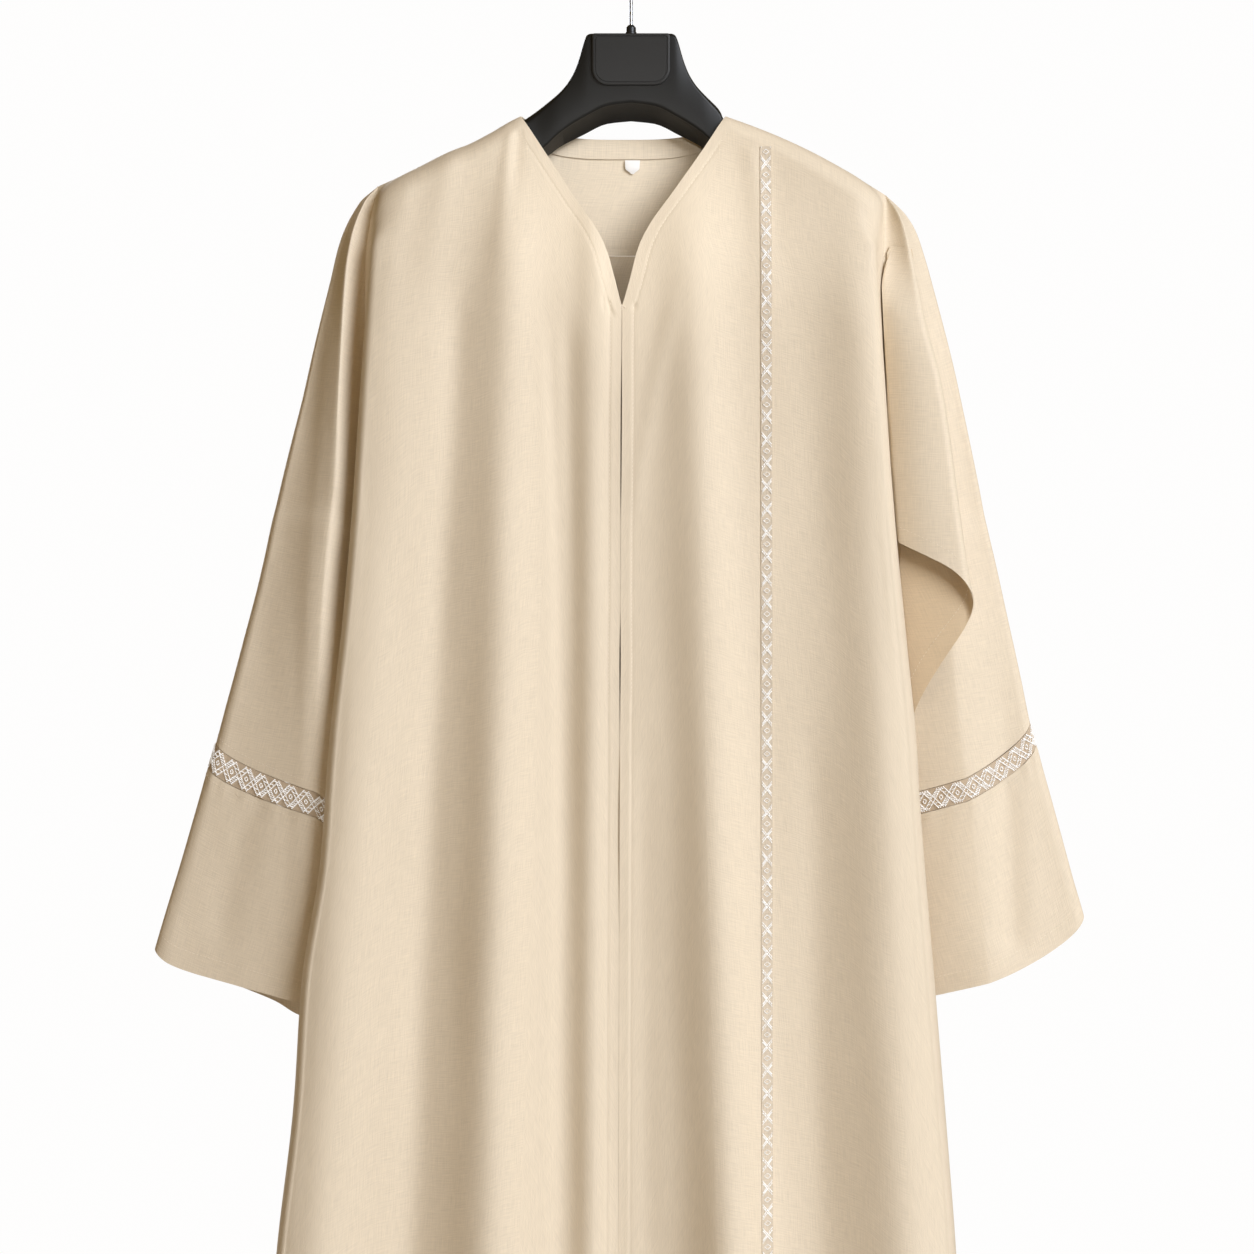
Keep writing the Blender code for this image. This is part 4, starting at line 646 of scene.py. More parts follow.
def sleeve_grid(side, rows, top_of, low_of, power=1.0):
    """Points of a stretch of sleeve, a closed ring of columns: outer edge, front, inner edge, back."""
    ring = np.concatenate([SLEEVE_LEVELS, SLEEVE_LEVELS[-2:0:-1]])
    near, v = np.meshgrid(ring, np.linspace(0, 1, rows + 1))
    z = mix(top_of(near), low_of(near), v ** power)
    reach = np.clip((SHOULDER_Z[side] - z) / (SHOULDER_Z[side] - ARMPIT_Z[side]), 1e-6, 1)
    share = np.clip(near / reach, 0, 1)
    share = np.where(near == 0, 0.0, share)
    face = np.broadcast_to(np.where(np.arange(len(ring)) < len(SLEEVE_LEVELS), -1, 1), z.shape)
    out, y = sleeve_point(side, share, z, face)
    gap = mix(SEAM_GAP, SLEEVE_GAP_LOW, reach)
    return np.stack([side * (out + gap), y, z], axis=-1)


def flap_grid(count, rows):
    """The folded flap: front layer from the armhole to the fold, back layer from the fold inwards."""
    w, v = np.meshgrid(np.linspace(0, 1, count + 1), np.linspace(0, 1, rows + 1))
    z = mix(FLAP_TOP_Z - FLAP_TOP_FALL * w, read(FLAP_HEM, "z", w, key="share"), v ** FLAP_ROW_CURVE)
    fold = read(FLAP_FOLD, "out", z)
    grown = smooth((FLAP_TOP_Z - z) / FLAP_GROW_OVER)
    front, back = read(FLAP_DEPTH, "front", z), read(FLAP_DEPTH, "back", z)
    edge = read(BODY_SIDE[LEFT], "edge", z)
    shoulder = np.maximum(read(FLAP_ROOT, "out", z), edge + FLAP_CLEAR)
    root_x = np.maximum(read(BODY_SIDE[LEFT], "seam", z) + FLAP_ROOT_IN, shoulder - FLAP_ROOT_IN)
    lift = mix(FLAP_LIFT_TOP, FLAP_LIFT_LOW, smooth((FLAP_TOP_Z - z) / FLAP_LIFT_OVER))
    root_y = sleeve_front_y(LEFT, root_x, z) - WALL - lift
    reach = np.abs(w - 0.5) * 2
    on_front = w <= 0.5
    turn = FLAP_TURN_TOP + FLAP_TURN_GROWTH * grown
    inward = np.clip((reach - FLAP_TURN) / (FLAP_SINK - FLAP_TURN), 0, 1)
    sink = smooth((reach - FLAP_SINK) / (1 - FLAP_SINK))
    x_front = mix(mix(fold - turn, shoulder, inward), root_x, sink)
    grown_tilt = smooth((FLAP_TOP_Z - z) / FLAP_TILT_OVER) * inward ** FLAP_TILT_CURVE
    front_tilt = smooth((FLAP_TOP_Z - z) / FLAP_TILT_OVER) * inward ** FLAP_FRONT_CURVE
    y_front = mix(front + FLAP_TILT_FRONT * front_tilt, root_y, sink)
    below = smooth((FLAP_HEM["z"][0] - z) / FLAP_TUCK_OVER)
    beside = np.maximum((shoulder + root_x) / 2 + WALL, shoulder) + FLAP_BACK_CLEAR
    back_end = mix(beside, edge - FLAP_TUCK_IN, below)
    x_back = mix(mix(fold - turn, back_end + FLAP_ROOT_IN, inward), back_end, sink)
    y_back = back + FLAP_TILT_BACK * grown_tilt + FLAP_TUCK_DEPTH * below * sink
    arc = np.clip(reach / FLAP_TURN, 0, 1) * math.pi / 2
    x_turn = fold - turn + turn * np.cos(arc)
    y_turn = (front + back) / 2 + np.where(on_front, -1, 1) * (back - front) / 2 * np.sin(arc)
    turning = reach < FLAP_TURN
    x = np.where(turning, x_turn, np.where(on_front, x_front, x_back))
    y = np.where(turning, y_turn, np.where(on_front, y_front, y_back))
    return np.stack([x, y, z], axis=-1)


def sleeve_front_y(side, x, z):
    """Depth of a sleeve's front between its ridge and the armhole seam, at x, z."""
    outer, inner, ridge_at = sleeve_width(side, z)
    at = (outer - x) / np.maximum(outer - inner, 1e-6)
    share = mix(RIDGE_SHARE, 1.0, (at - ridge_at) / np.maximum(1 - ridge_at, 1e-6))
    return sleeve_point(side, np.clip(share, RIDGE_SHARE, 1.0), z, np.full(np.shape(z), -1))[1]


def normals(points, closed):
    """Unit normals of a grid of points; the grid's columns and rows turn so that they face out."""
    if closed:
        wide = np.concatenate([points[:, -1:], points, points[:, :1]], axis=1)
        along_u = (wide[:, 2:] - wide[:, :-2]) / 2
    else:
        along_u = np.gradient(points, axis=1)
    along_v = np.gradient(points, axis=0)
    cross = np.cross(along_u, along_v)
    size = np.linalg.norm(cross, axis=-1, keepdims=True)
    return cross / np.maximum(size, 1e-9)

def crease(x, z, points, wide, out, fade):
    """Height of one soft ridge or trough that follows a line."""
    points = np.array(points, float)
    steps = np.diff(points, axis=0)
    lengths = np.hypot(steps[:, 0], steps[:, 1])
    begins = np.concatenate([[0.0], np.cumsum(lengths)])
    nearest = np.full(x.shape, 1e9)
    along = np.zeros(x.shape)
    for (px, pz), (sx, sz), length, begin in zip(points[:-1], steps, lengths, begins):
        t = np.clip(((x - px) * sx + (z - pz) * sz) / length ** 2, 0, 1)
        distance = np.hypot(x - px - t * sx, z - pz - t * sz)
        closer = distance < nearest
        nearest = np.where(closer, distance, nearest)
        along = np.where(closer, begin + t * length, along)
    share = along / begins[-1]
    ends = smooth(along / fade[0]) * smooth((begins[-1] - along) / fade[1])
    return mix(out[0], out[1], share) * ends * np.exp(-(nearest / mix(wide[0], wide[1], share)) ** 2)


def ripple(x, z, phase=0.0):
    """Faint unevenness of hanging cloth."""
    total = 0.0
    for across_x, down_z, height, start in RIPPLES:
        total = total + height * np.sin(x * across_x * 2 + z * down_z * 2 + start + phase)
    return total


def sleeve_ripple(side, x, z):
    return 0.9 * ripple(x * 1.2, z, 1.7 * side)


def front_relief(side, x, z):
    """Creases, the stitched placket and the ripples of a front, in mm out from the plain form."""
    total = ripple(x, z, side)
    for row in CREASES[side]:
        total = total + crease(x, z, *row)
    edge = front_start(side, z)
    inward = side * x - edge
    below = smooth((V_POINT_Z + 4 - z) / 10)
    placket = PLACKET_UP * smooth((PLACKET + 1.0 - inward) / 1.6)
    stitch_dent = -PLACKET_DENT * np.exp(-((inward - PLACKET) / 1.0) ** 2)
    neck_dent = -NECK_DENT * np.exp(-((inward - NECK_HEM) / 1.2) ** 2)
    return total + below * (placket + stitch_dent) + (1 - below) * neck_dent


def front_surface(side, x, z):
    """Point of a front between its edge and its side turn, out to the shown cloth."""
    y = body_y(x, z, -1) - SEAM_GAP / 2 - front_relief(side, x, z)
    return np.stack([x, y, z], axis=-1)


def link(name, verts, faces, material, uvs=None, angle=60.0):
    """A mesh from millimetres, smooth but for edges sharper than angle, riding the part's body."""
    mesh = bpy.data.meshes.new(name)
    mesh.from_pydata((np.asarray(verts, float) * MM).tolist(), [], faces)
    if uvs is not None:
        layer = mesh.uv_layers.new(name="UVMap")
        layer.data.foreach_set("uv", np.asarray(uvs, float).ravel())
    mesh.shade_smooth()
    mesh.set_sharp_from_angle(angle=math.radians(angle))
    mesh.materials.append(material)
    made = bpy.data.objects.new(name, mesh)
    bpy.context.scene.collection.objects.link(made)
    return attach(made, "root")


def flat_sizes(points, closed):
    """Lengths along a grid's rows and columns, in mm, from its first column and row."""
    ring = np.concatenate([points, points[:, :1]], axis=1) if closed else points
    along = np.linalg.norm(np.diff(ring, axis=1), axis=-1)
    down = np.linalg.norm(np.diff(ring, axis=0), axis=-1)
    u = np.concatenate([np.zeros((len(ring), 1)), np.cumsum(along, axis=1)], axis=1)
    v = np.concatenate([np.zeros((1, ring.shape[1])), np.cumsum(down, axis=0)], axis=0)
    return u, v


def shell(name, points, material, closed=False, outward=1, wall=SHELL,
          origin=0, painted_shade_inside=None):
    """Thin cloth on a grid of outer points, with its weave laid along the grid."""
    rows, count = points.shape[:2]
    inner = points - outward * normals(points, closed) * wall
    verts = np.concatenate([points.reshape(-1, 3), inner.reshape(-1, 3)])
    u, v = flat_sizes(points, closed)
    u, v = (u - u[:, origin:origin + 1]) * MM, -v * MM
    shift = rows * count
    last = count if closed else count - 1
    faces, uvs = [], []
    for i in range(rows - 1):
        for j in range(last):
            k = (j + 1) % count
            quad = [i * count + j, i * count + k, (i + 1) * count + k, (i + 1) * count + j]
            at = [(u[i, j], v[i, j]), (u[i, j + 1], v[i, j + 1]),
                  (u[i + 1, j + 1], v[i + 1, j + 1]), (u[i + 1, j], v[i + 1, j])]
            back = [shift + n for n in quad[::-1]]
            if outward < 0:
                quad, at, back = quad[::-1], at[::-1], back[::-1]
            faces += [quad, back]
            uvs += at + at[::-1]
    around = [j % count for j in range(last + 1)]
    loops = [around, [(rows - 1) * count + j for j in around][::-1]]
    if not closed:
        loops += [[i * count for i in range(rows)][::-1], [i * count + count - 1 for i in range(rows)]]
    for loop in loops:
        for a, b in zip(loop[:-1], loop[1:]):
            quad = [a, shift + a, shift + b, b]
            faces.append(quad[::-1] if outward < 0 else quad)
            uvs += [(0.0, 0.0), (0.001, 0.0), (0.001, 0.001), (0.0, 0.001)]
    made = link(name, verts, faces, material, uvs)
    # Where given, the inner faces take a darker finish: painted shade
    if painted_shade_inside:
        made.data.materials.append(painted_shade_inside)
        cells = 2 * (rows - 1) * last
        sides = np.zeros(len(faces), dtype=np.int32)
        sides[1:cells:2] = 1
        made.data.polygons.foreach_set("material_index", sides)
    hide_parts(name.replace("cloth_", ""))
    return made


def round_points(count):
    """Points of a circle of radius 1."""
    return [(math.cos(2 * math.pi * k / count), math.sin(2 * math.pi * k / count)) for k in range(count)]


def loft(levels, count):
    """Faces between rings of count vertices, with a cap at both ends."""
    faces = []
    for i in range(levels - 1):
        for j in range(count):
            k = (j + 1) % count
            faces.append([i * count + j, i * count + k, (i + 1) * count + k, (i + 1) * count + j])
    faces.append(list(range(count))[::-1])
    faces.append([(levels - 1) * count + j for j in range(count)])
    return faces


def tube(path, radius, sides):
    """Vertices and faces of a thin tube along a path."""
    path = np.asarray(path, float)
    tangent = np.gradient(path, axis=0)
    tangent /= np.maximum(np.linalg.norm(tangent, axis=1, keepdims=True), 1e-9)
    helper = np.where(np.abs(tangent[:, 2:3]) > 0.9, [[1.0, 0.0, 0.0]], [[0.0, 0.0, 1.0]])
    one = np.cross(tangent, helper)
    one /= np.maximum(np.linalg.norm(one, axis=1, keepdims=True), 1e-9)
    two = np.cross(tangent, one)
    angles = [2 * math.pi * k / sides for k in range(sides)]
    verts = [path + radius * (math.cos(angle) * one + math.sin(angle) * two) for angle in angles]
    return np.stack(verts, axis=1).reshape(-1, 3), loft(len(path), sides)


def gather(parts):
    """One mesh out of several vertex and face lists."""
    verts, faces, shift = [], [], 0
    for part_verts, part_faces in parts:
        verts.append(np.asarray(part_verts, float))
        faces += [[shift + n for n in face] for face in part_faces]
        shift += len(part_verts)
    return np.concatenate(verts), faces


def piece(name, parts, material, node_name=None, angle=60.0):
    """Links one mesh made of several parts, and hides the part's node that it stands for."""
    made = link(name, *gather(parts), material, angle=angle)
    if node_name:
        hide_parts(node_name)


def stitches(path, outward):
    """A row of stitches along a path that lies on cloth; outward is the cloth's normal at each point."""
    path, outward = np.asarray(path, float), np.asarray(outward, float)
    length = np.concatenate([[0.0], np.cumsum(np.linalg.norm(np.diff(path, axis=0), axis=1))])
    starts = np.arange(0.5, length[-1] - STITCH, STITCH + STITCH_GAP)

    def at(where, values):
        return np.stack([np.interp(where, length, values[:, n]) for n in range(3)], axis=-1)

    a, b, middle = at(starts, path), at(starts + STITCH, path), at(starts + STITCH / 2, path)
    up = at(starts + STITCH / 2, outward)
    up /= np.linalg.norm(up, axis=1, keepdims=True)
    side = np.cross(b - a, up)
    side /= np.linalg.norm(side, axis=1, keepdims=True)
    beside, raised = side * THREAD, middle + up * STITCH_SIDE_UP
    corners = np.stack([a - up * STITCH_SINK, b - up * STITCH_SINK, raised + beside, raised - beside,
                        middle + up * STITCH_TOP, middle - up * STITCH_UNDER], axis=1)
    shape = [[0, 2, 4], [2, 1, 4], [1, 3, 4], [3, 0, 4], [2, 0, 5], [1, 2, 5], [3, 1, 5], [0, 3, 5]]
    faces = [[6 * n + k for k in face] for n in range(len(starts)) for face in shape]
    return corners.reshape(-1, 3), faces


def beads(centres, radius):
    """A low ball at every centre."""
    gold = (1 + 5 ** 0.5) / 2
    ball = np.array([(-1, gold, 0), (1, gold, 0), (-1, -gold, 0), (1, -gold, 0), (0, -1, gold),
                     (0, 1, gold), (0, -1, -gold), (0, 1, -gold), (gold, 0, -1), (gold, 0, 1),
                     (-gold, 0, -1), (-gold, 0, 1)])
    ball = ball / np.linalg.norm(ball[0])
    sides = [(0, 11, 5), (0, 5, 1), (0, 1, 7), (0, 7, 10), (0, 10, 11), (1, 5, 9), (5, 11, 4), (11, 10, 2),
             (10, 7, 6), (7, 1, 8), (3, 9, 4), (3, 4, 2), (3, 2, 6), (3, 6, 8), (3, 8, 9), (4, 9, 5),
             (2, 4, 11), (6, 2, 10), (8, 6, 7), (9, 8, 1)]
    centres = np.asarray(centres, float)
    radius = np.broadcast_to(radius, (len(centres),))
    verts = centres[:, None] + ball[None] * radius[:, None, None]
    faces = [[12 * n + k for k in side] for n in range(len(centres)) for side in sides]
    return verts.reshape(-1, 3), faces


def node(tree, kind, **values):
    """A shader node with its constant inputs set by name."""
    made = tree.nodes.new(kind)
    for name, value in values.items():
        made.inputs[name.replace("_", " ")].default_value = value
    return made


def weave(tree, across_per_m, down_per_m, detail=2.0):
    """Noise on the cloth's own measure, stretched one way."""
    place = tree.nodes.new("ShaderNodeUVMap")
    place.uv_map = "UVMap"
    scale = tree.nodes.new("ShaderNodeVectorMath")
    scale.operation = "MULTIPLY"
    scale.inputs[1].default_value = (across_per_m, down_per_m, 1.0)
    tree.links.new(place.outputs[0], scale.inputs[0])
    noise = node(tree, "ShaderNodeTexNoise", Scale=1.0, Detail=detail)
    tree.links.new(scale.outputs[0], noise.inputs["Vector"])
    return noise.outputs["Fac"]


def linen(name, colour=LINEN, grain=1.0):
    """Plain-woven cloth with slubs both ways and a soft sheen."""
    material = bpy.data.materials.new(name)
    material.use_nodes = True
    tree = material.node_tree
    shader = tree.nodes["Principled BSDF"]
    shader.inputs["Roughness"].default_value = 0.62
    shader.inputs["Specular IOR Level"].default_value = 0.28
    shader.inputs["Sheen Weight"].default_value = 0.18
    shader.inputs["Sheen Roughness"].default_value = 0.45
    down = weave(tree, 1100.0, 60.0)
    over = weave(tree, 70.0, 1000.0)
    total = tree.nodes.new("ShaderNodeMath")
    total.operation = "ADD"
    tree.links.new(down, total.inputs[0])
    tree.links.new(over, total.inputs[1])
    spread = node(tree, "ShaderNodeMapRange", From_Min=0.55, From_Max=1.45, To_Min=0.0, To_Max=1.0)
    tree.links.new(total.outputs[0], spread.inputs["Value"])
    tone = tree.nodes.new("ShaderNodeMix")
    tone.data_type = "RGBA"
    low = tuple(c * (1 - 0.11 * grain) for c in colour)
    high = tuple(min(c * (1 + 0.08 * grain), 1.0) for c in colour)
    tone.inputs[6].default_value = (*low, 1.0)
    tone.inputs[7].default_value = (*high, 1.0)
    tree.links.new(spread.outputs[0], tone.inputs[0])
    tree.links.new(tone.outputs[2], shader.inputs["Base Color"])
    bump = node(tree, "ShaderNodeBump", Strength=0.35, Distance=0.0004)
    tree.links.new(total.outputs[0], bump.inputs["Height"])
    tree.links.new(bump.outputs[0], shader.inputs["Normal"])
    return material


def plain(name, colour, roughness, metallic=0.0, coat=0.0, grain=0.0, size=900.0, shine=0.5, painted_glow=0.0):
    """A smooth finish, with a faint moulded grain and a painted glow where asked."""
    material = bpy.data.materials.new(name)
    material.use_nodes = True
    tree = material.node_tree
    shader = tree.nodes["Principled BSDF"]
    shader.inputs["Base Color"].default_value = (*colour, 1.0)
    shader.inputs["Roughness"].default_value = roughness
    shader.inputs["Metallic"].default_value = metallic
    shader.inputs["Coat Weight"].default_value = coat
    shader.inputs["Specular IOR Level"].default_value = shine
    shader.inputs["Emission Color"].default_value = (*colour, 1.0)
    # A glow is painted light: the part shines though it is no lamp
    shader.inputs["Emission Strength"].default_value = painted_glow
    if grain:
        where = tree.nodes.new("ShaderNodeTexCoord")
        noise = node(tree, "ShaderNodeTexNoise", Scale=size, Detail=2.0)
        tree.links.new(where.outputs["Object"], noise.inputs["Vector"])
        bump = node(tree, "ShaderNodeBump", Strength=grain, Distance=0.0002)
        tree.links.new(noise.outputs["Fac"], bump.inputs["Height"])
        tree.links.new(bump.outputs[0], shader.inputs["Normal"])
    return material


def fine_front(side):
    """Points of a shown front, with its creases."""
    base = np.concatenate([
        NECK_SHARE * (1 - (1 - np.arange(NECK_COLUMNS) / NECK_COLUMNS) ** 2.5),
        np.linspace(NECK_SHARE, SHOULDER_SHARE, SHOULDER_COLUMNS + 1)[:-1],
        mix(SHOULDER_SHARE, 1.0, BASE_BODY_LEVELS)])
    armhole = mix(SHOULDER_SHARE, 1.0, denser(BASE_BODY_LEVELS, ARMHOLE_FINE))
    shares = np.concatenate([denser(base, FRONT_FINE), EDGE_SHARES, armhole])
    shares = np.unique(shares.round(4))
    drops = denser(np.array(PANEL_DROPS) / PANEL_DROPS[-1], FRONT_ROWS_FINE)
    grid = front_grid(side, shares, drops)
    x, z = grid[..., 0], grid[..., 2]
    edge = read(BODY_SIDE[side], "edge", z)
    inside = smooth((edge - EDGE_TURN - side * x) / RELIEF_FADE + 0.5)
    below = smooth((ridge_z(side, side * x) - z) / RELIEF_FADE)
    first = smooth((SHOULDER_Z[side] - z) / EDGE_TURN_FADE)
    u = np.broadcast_to(shares, x.shape)
    flat = 1 - smooth((u - (1 - (1 - ACROSS_SHARE) * first)) / RELIEF_TURN + 1)
    grid[..., 1] -= front_relief(side, x, z) * below * np.maximum(flat, 0) * inside
    beside = np.hypot(side * grid[..., 0] - SHOULDER_X[side], 0.5 * (grid[..., 2] - SHOULDER_Z[side]))
    relax(grid, 1 - smooth((beside - CORNER_NEAR) / CORNER_FAR), CORNER_TIMES)
    return grid


def relax(grid, weight, times):
    """Evens a grid out where weight is 1; its edges stay."""
    for _ in range(times):
        near = (grid[:-2, 1:-1] + grid[2:, 1:-1] + grid[1:-1, :-2] + grid[1:-1, 2:]) / 4
        grid[1:-1, 1:-1] += (near - grid[1:-1, 1:-1]) * weight[1:-1, 1:-1, None]


def build_fronts(cloth_look):
    for side, name in ((RIGHT, "front_right"), (LEFT, "front_left")):
        shell("cloth_" + name, fine_front(side), cloth_look, outward=-side)
        piece("stitches_" + name, [stitches(*row) for row in stitch_rows(side)], THREAD_LOOK)


def stitch_rows(side):
    """Stitch lines of a front: placket, neck edge and hem."""
    found = []
    z = np.arange(V_POINT_Z + 6.0, PLACKET_END_Z, -2.0)
    x = side * (front_start(side, z) + PLACKET)
    found.append(z_line(side, x, z))
    z = np.arange(V_POINT_Z + 12.0, NECK_Z - 14.0, 1.5)
    x = side * (read(NECKLINE[side], "out", z) + NECK_HEM)
    found.append(z_line(side, x, z))
    x = side * np.arange(*HEM_STITCH_X, 2.0)
    found.append(z_line(side, x, np.full_like(x, HEM_Z + HEM_TURN)))
    return found


def z_line(side, x, z):
    """Points on a front with the cloth's outward normals."""
    points = front_surface(side, x, z)
    step = 1.0
    right = front_surface(side, x + step, z)
    low = front_surface(side, x, z - step)
    normal = np.cross(right - points, low - points)
    normal = normal / np.linalg.norm(normal, axis=1, keepdims=True)
    normal = np.where(normal[:, 1:2] > 0, -normal, normal)
    return points, normal


def build_back(cloth_look, label_look):
    neck = BACK_NECK_SHARE * (1 - (1 - np.arange(YOKE_NECK_COLUMNS) / YOKE_NECK_COLUMNS) ** 2)
    base = np.concatenate([neck, np.linspace(BACK_NECK_SHARE, 1, SHOULDER_COLUMNS + 1)])
    shares = denser(base, BACK_FINE)
    drops = denser(np.array(YOKE_DROPS) / YOKE_DROPS[-1], BACK_FINE)
    yoke = both_halves(yoke_half, lambda side: shares, drops)
    # Its seam allowance is turned in and up
    turned = [yoke[-1:] + np.array(move) for move in ((0.0, -1.3, -0.8), (0.0, -1.6, 7.0))]
    yoke = np.concatenate([yoke, *turned])
    shell("cloth_back_yoke", yoke, cloth_look, outward=-1)

    def skirt_shares(side):
        seam_z = YOKE_SEAM_Z - SEAM_GAP / 2
        levels = mix(SHOULDER_Z[side], ARMPIT_Z[side], BASE_LEVELS[SKIRT_LEVELS])
        levels = (seam_z - levels) / (seam_z - ARMPIT_Z[side])
        across_back = SHOULDER_SHARE * (np.arange(SKIRT_COLUMNS + 1) / SKIRT_COLUMNS) ** 1.25
        return denser(np.concatenate([across_back, mix(SHOULDER_SHARE, 1.0, levels)]), BACK_FINE)

    drops = denser(np.linspace(0, 1, SKIRT_ROWS + 1) ** 1.2, BACK_FINE + 1)
    skirt = both_halves(skirt_half, skirt_shares, drops)
    shell("cloth_back_skirt", skirt, cloth_look, outward=-1)

    x = np.linspace(*FACING_X, FACING_COLUMNS)
    rows = []
    for fall in np.linspace(0.8, FACING_FALL, FACING_ROWS):
        z = back_neck_z(x) - fall
        y = body_y(x, z, 1) + SEAM_GAP / 2 - SHELL - FACING_LIFT
        rows.append(np.stack([x, y, z], axis=-1))
    facing = np.array(rows)
    shell("cloth_neck_facing", facing, cloth_look, wall=FACING_WALL)
    forward = np.broadcast_to([0.0, -1.0, 0.0], facing[0, 2:-2].shape)
    rows = [facing[row, 2:-2] + np.array([0.0, -0.15, up]) for row, up in ((-2, 0.4), (1, -0.6))]
    piece("stitches_neck_facing", [stitches(row, forward) for row in rows], THREAD_LOOK)

    left, right = LABEL_X
    middle = (left + right) / 2
    start_y = float(facing[-1, FACING_COLUMNS // 2, 1]) - LABEL_LIFT
    xs = np.linspace(-1, 1, LABEL_COLUMNS)
    rows = []
    for t in np.linspace(0, 1, LABEL_ROWS):
        z = mix(LABEL_TOP_Z, LABEL_TIP_Z, t)
        half = (right - left) / 2 * (1 - LABEL_TAPER * t - 0.675 * smooth((t - 0.6) / 0.4))
        y = start_y - LABEL_BULGE * np.sin(t * math.pi) * (1 - 0.4 * xs ** 2)
        rows.append(np.stack([middle + half * xs, y, np.full_like(xs, z)], axis=-1))
    shell("cloth_neck_label", np.array(rows), label_look, wall=LABEL_WALL)


def row_path(grid, row, lift, closed):
    """A row of a sleeve grid, lifted off the cloth, with its outward normals."""
    side = 1 if grid[..., 0].mean() > 0 else -1
    normal = side * normals(grid, closed)[row]
    points = grid[row] + normal * lift
    if not closed:
        return points[2:-2], normal[2:-2]
    return np.concatenate([points, points[:1]]), np.concatenate([normal, normal[:1]])


def upper_grid(side, rows):
    """Points of the sleeve above its band, an open strip: from the back of the armhole and underarm
    seam round the outer edge to the front of that seam."""
    count = len(SLEEVE_LEVELS)
    shares = np.concatenate([SLEEVE_LEVELS[:0:-1], SLEEVE_LEVELS])
    share, v = np.meshgrid(shares, np.linspace(0, 1, rows + 1) ** UPPER_ROW_CURVE)
    low = TRIM_TOP[side][0] - TRIM_TOP[side][1] * share + BAND_GAP / 4
    z = mix(SHOULDER_Z[side] - UPPER_START, low, v)
    face = np.broadcast_to(np.where(np.arange(len(shares)) < count - 1, 1, -1), z.shape)
    out, y = sleeve_point(side, share, z, face)
    reach = np.clip((SHOULDER_Z[side] - z) / (SHOULDER_Z[side] - ARMPIT_Z[side]), 0, 1)
    points = np.stack([side * (out + mix(SEAM_GAP, SLEEVE_GAP_LOW, reach)), y, z], axis=-1)
    return points, share, face < 0


def with_allowance(side, grid):
    """The strip with its seam allowances: turned into the body above, into the sleeve below."""
    above = smooth((grid[..., 2:] - ARMPIT_Z[side]) / ALLOWANCE_BLEND + 0.5)
    turned = grid.copy()
    turned[..., :1] += side * mix(ALLOWANCE_IN, -ALLOWANCE_OUT, above)
    turned[..., 1:2] *= mix(1.0, ALLOWANCE_DEPTH, above)
    turned[..., 2:] -= above
    return np.concatenate([turned[:, :1], grid, turned[:, -1:]], axis=1)


def build_sleeve(side, name, cloth_look, braid_look, bead_look):
    def line(edge, shift):
        return lambda near: edge[0] - edge[1] * near + shift

    def hem(near):
        return read(CUFF_HEM[side], "z", near, key="share")

    half = BAND_GAP / 4
    band = sleeve_grid(side, BAND_ROWS, line(TRIM_TOP[side], -half), line(TRIM_LOW[side], half))
    cuff = sleeve_grid(side, CUFF_ROWS, line(TRIM_LOW[side], -half), hem)
    upper, share, on_front = upper_grid(side, UPPER_ROWS)
    x, z = upper[..., 0].copy(), upper[..., 2]
    down = np.linspace(0, 1, upper.shape[0])[:, None]
    beside_seam = smooth((1 - share) / SEAM_SHARE)
    fade = np.clip(down / RIPPLE_TOP, 0, 1) * np.clip((1 - down) / RIPPLE_LOW, 0, 1) * beside_seam
    amount = sleeve_ripple(side, x, z) * fade
    upper += side * normals(upper, False) * amount[..., None]
    for row in SLEEVE_CREASES[side]:
        upper[..., 1] -= np.where(on_front, crease(x, z, *row), 0.0) * beside_seam

    x, z = cuff[..., 0].copy(), cuff[..., 2]
    down = np.linspace(0, 1, cuff.shape[0])[:, None]
    count = cuff.shape[1]
    turn = np.arange(count) * 2 * math.pi / count
    gathers = GATHER_HIGH * np.sin(turn * GATHER_COUNT + GATHER_PHASE)
    gathers = gathers * np.exp(-(down / GATHER_FALL) ** 2)
    seam = CUFF_SEAM_HIGH * np.exp(-((down - CUFF_SEAM_AT) / CUFF_SEAM_AT) ** 2)
    amount = sleeve_ripple(side, x, z) * np.clip(down / CUFF_RIPPLE_TOP, 0, 1)
    cuff += side * normals(cuff, True) * (amount + gathers + seam)[..., None]
    front = np.arange(count) < len(SLEEVE_LEVELS)
    for row in SLEEVE_CREASES[side]:
        cuff[..., 1] -= np.where(front, crease(x, z, *row), 0.0)

    shell("cloth_" + name + "_upper", with_allowance(side, upper), cloth_look, outward=side,
          origin=len(SLEEVE_LEVELS))
    shell("cloth_" + name + "_cuff", cuff, cloth_look, closed=True, outward=side)
    shell("cloth_" + name + "_trim", band, braid_look, closed=True, outward=side, wall=0.6)
    paths = [row_path(upper, -2, 0.0, False), row_path(cuff, 1, 0.1, True), row_path(cuff, -4, 0.0, True)]
    piece("stitches_" + name, [stitches(*path) for path in paths], THREAD_LOOK)
    piece("beads_" + name, [beads(*lattice(band, side))], bead_look)


def segment(a, b, pitch):
    """Evenly spaced points from a to b on the flat pattern."""
    a, b = np.asarray(a, float), np.asarray(b, float)
    count = max(int(round(np.hypot(*(b - a)) / pitch)), 1)
    return a + (b - a) * (np.arange(count) + 0.5)[:, None] / count


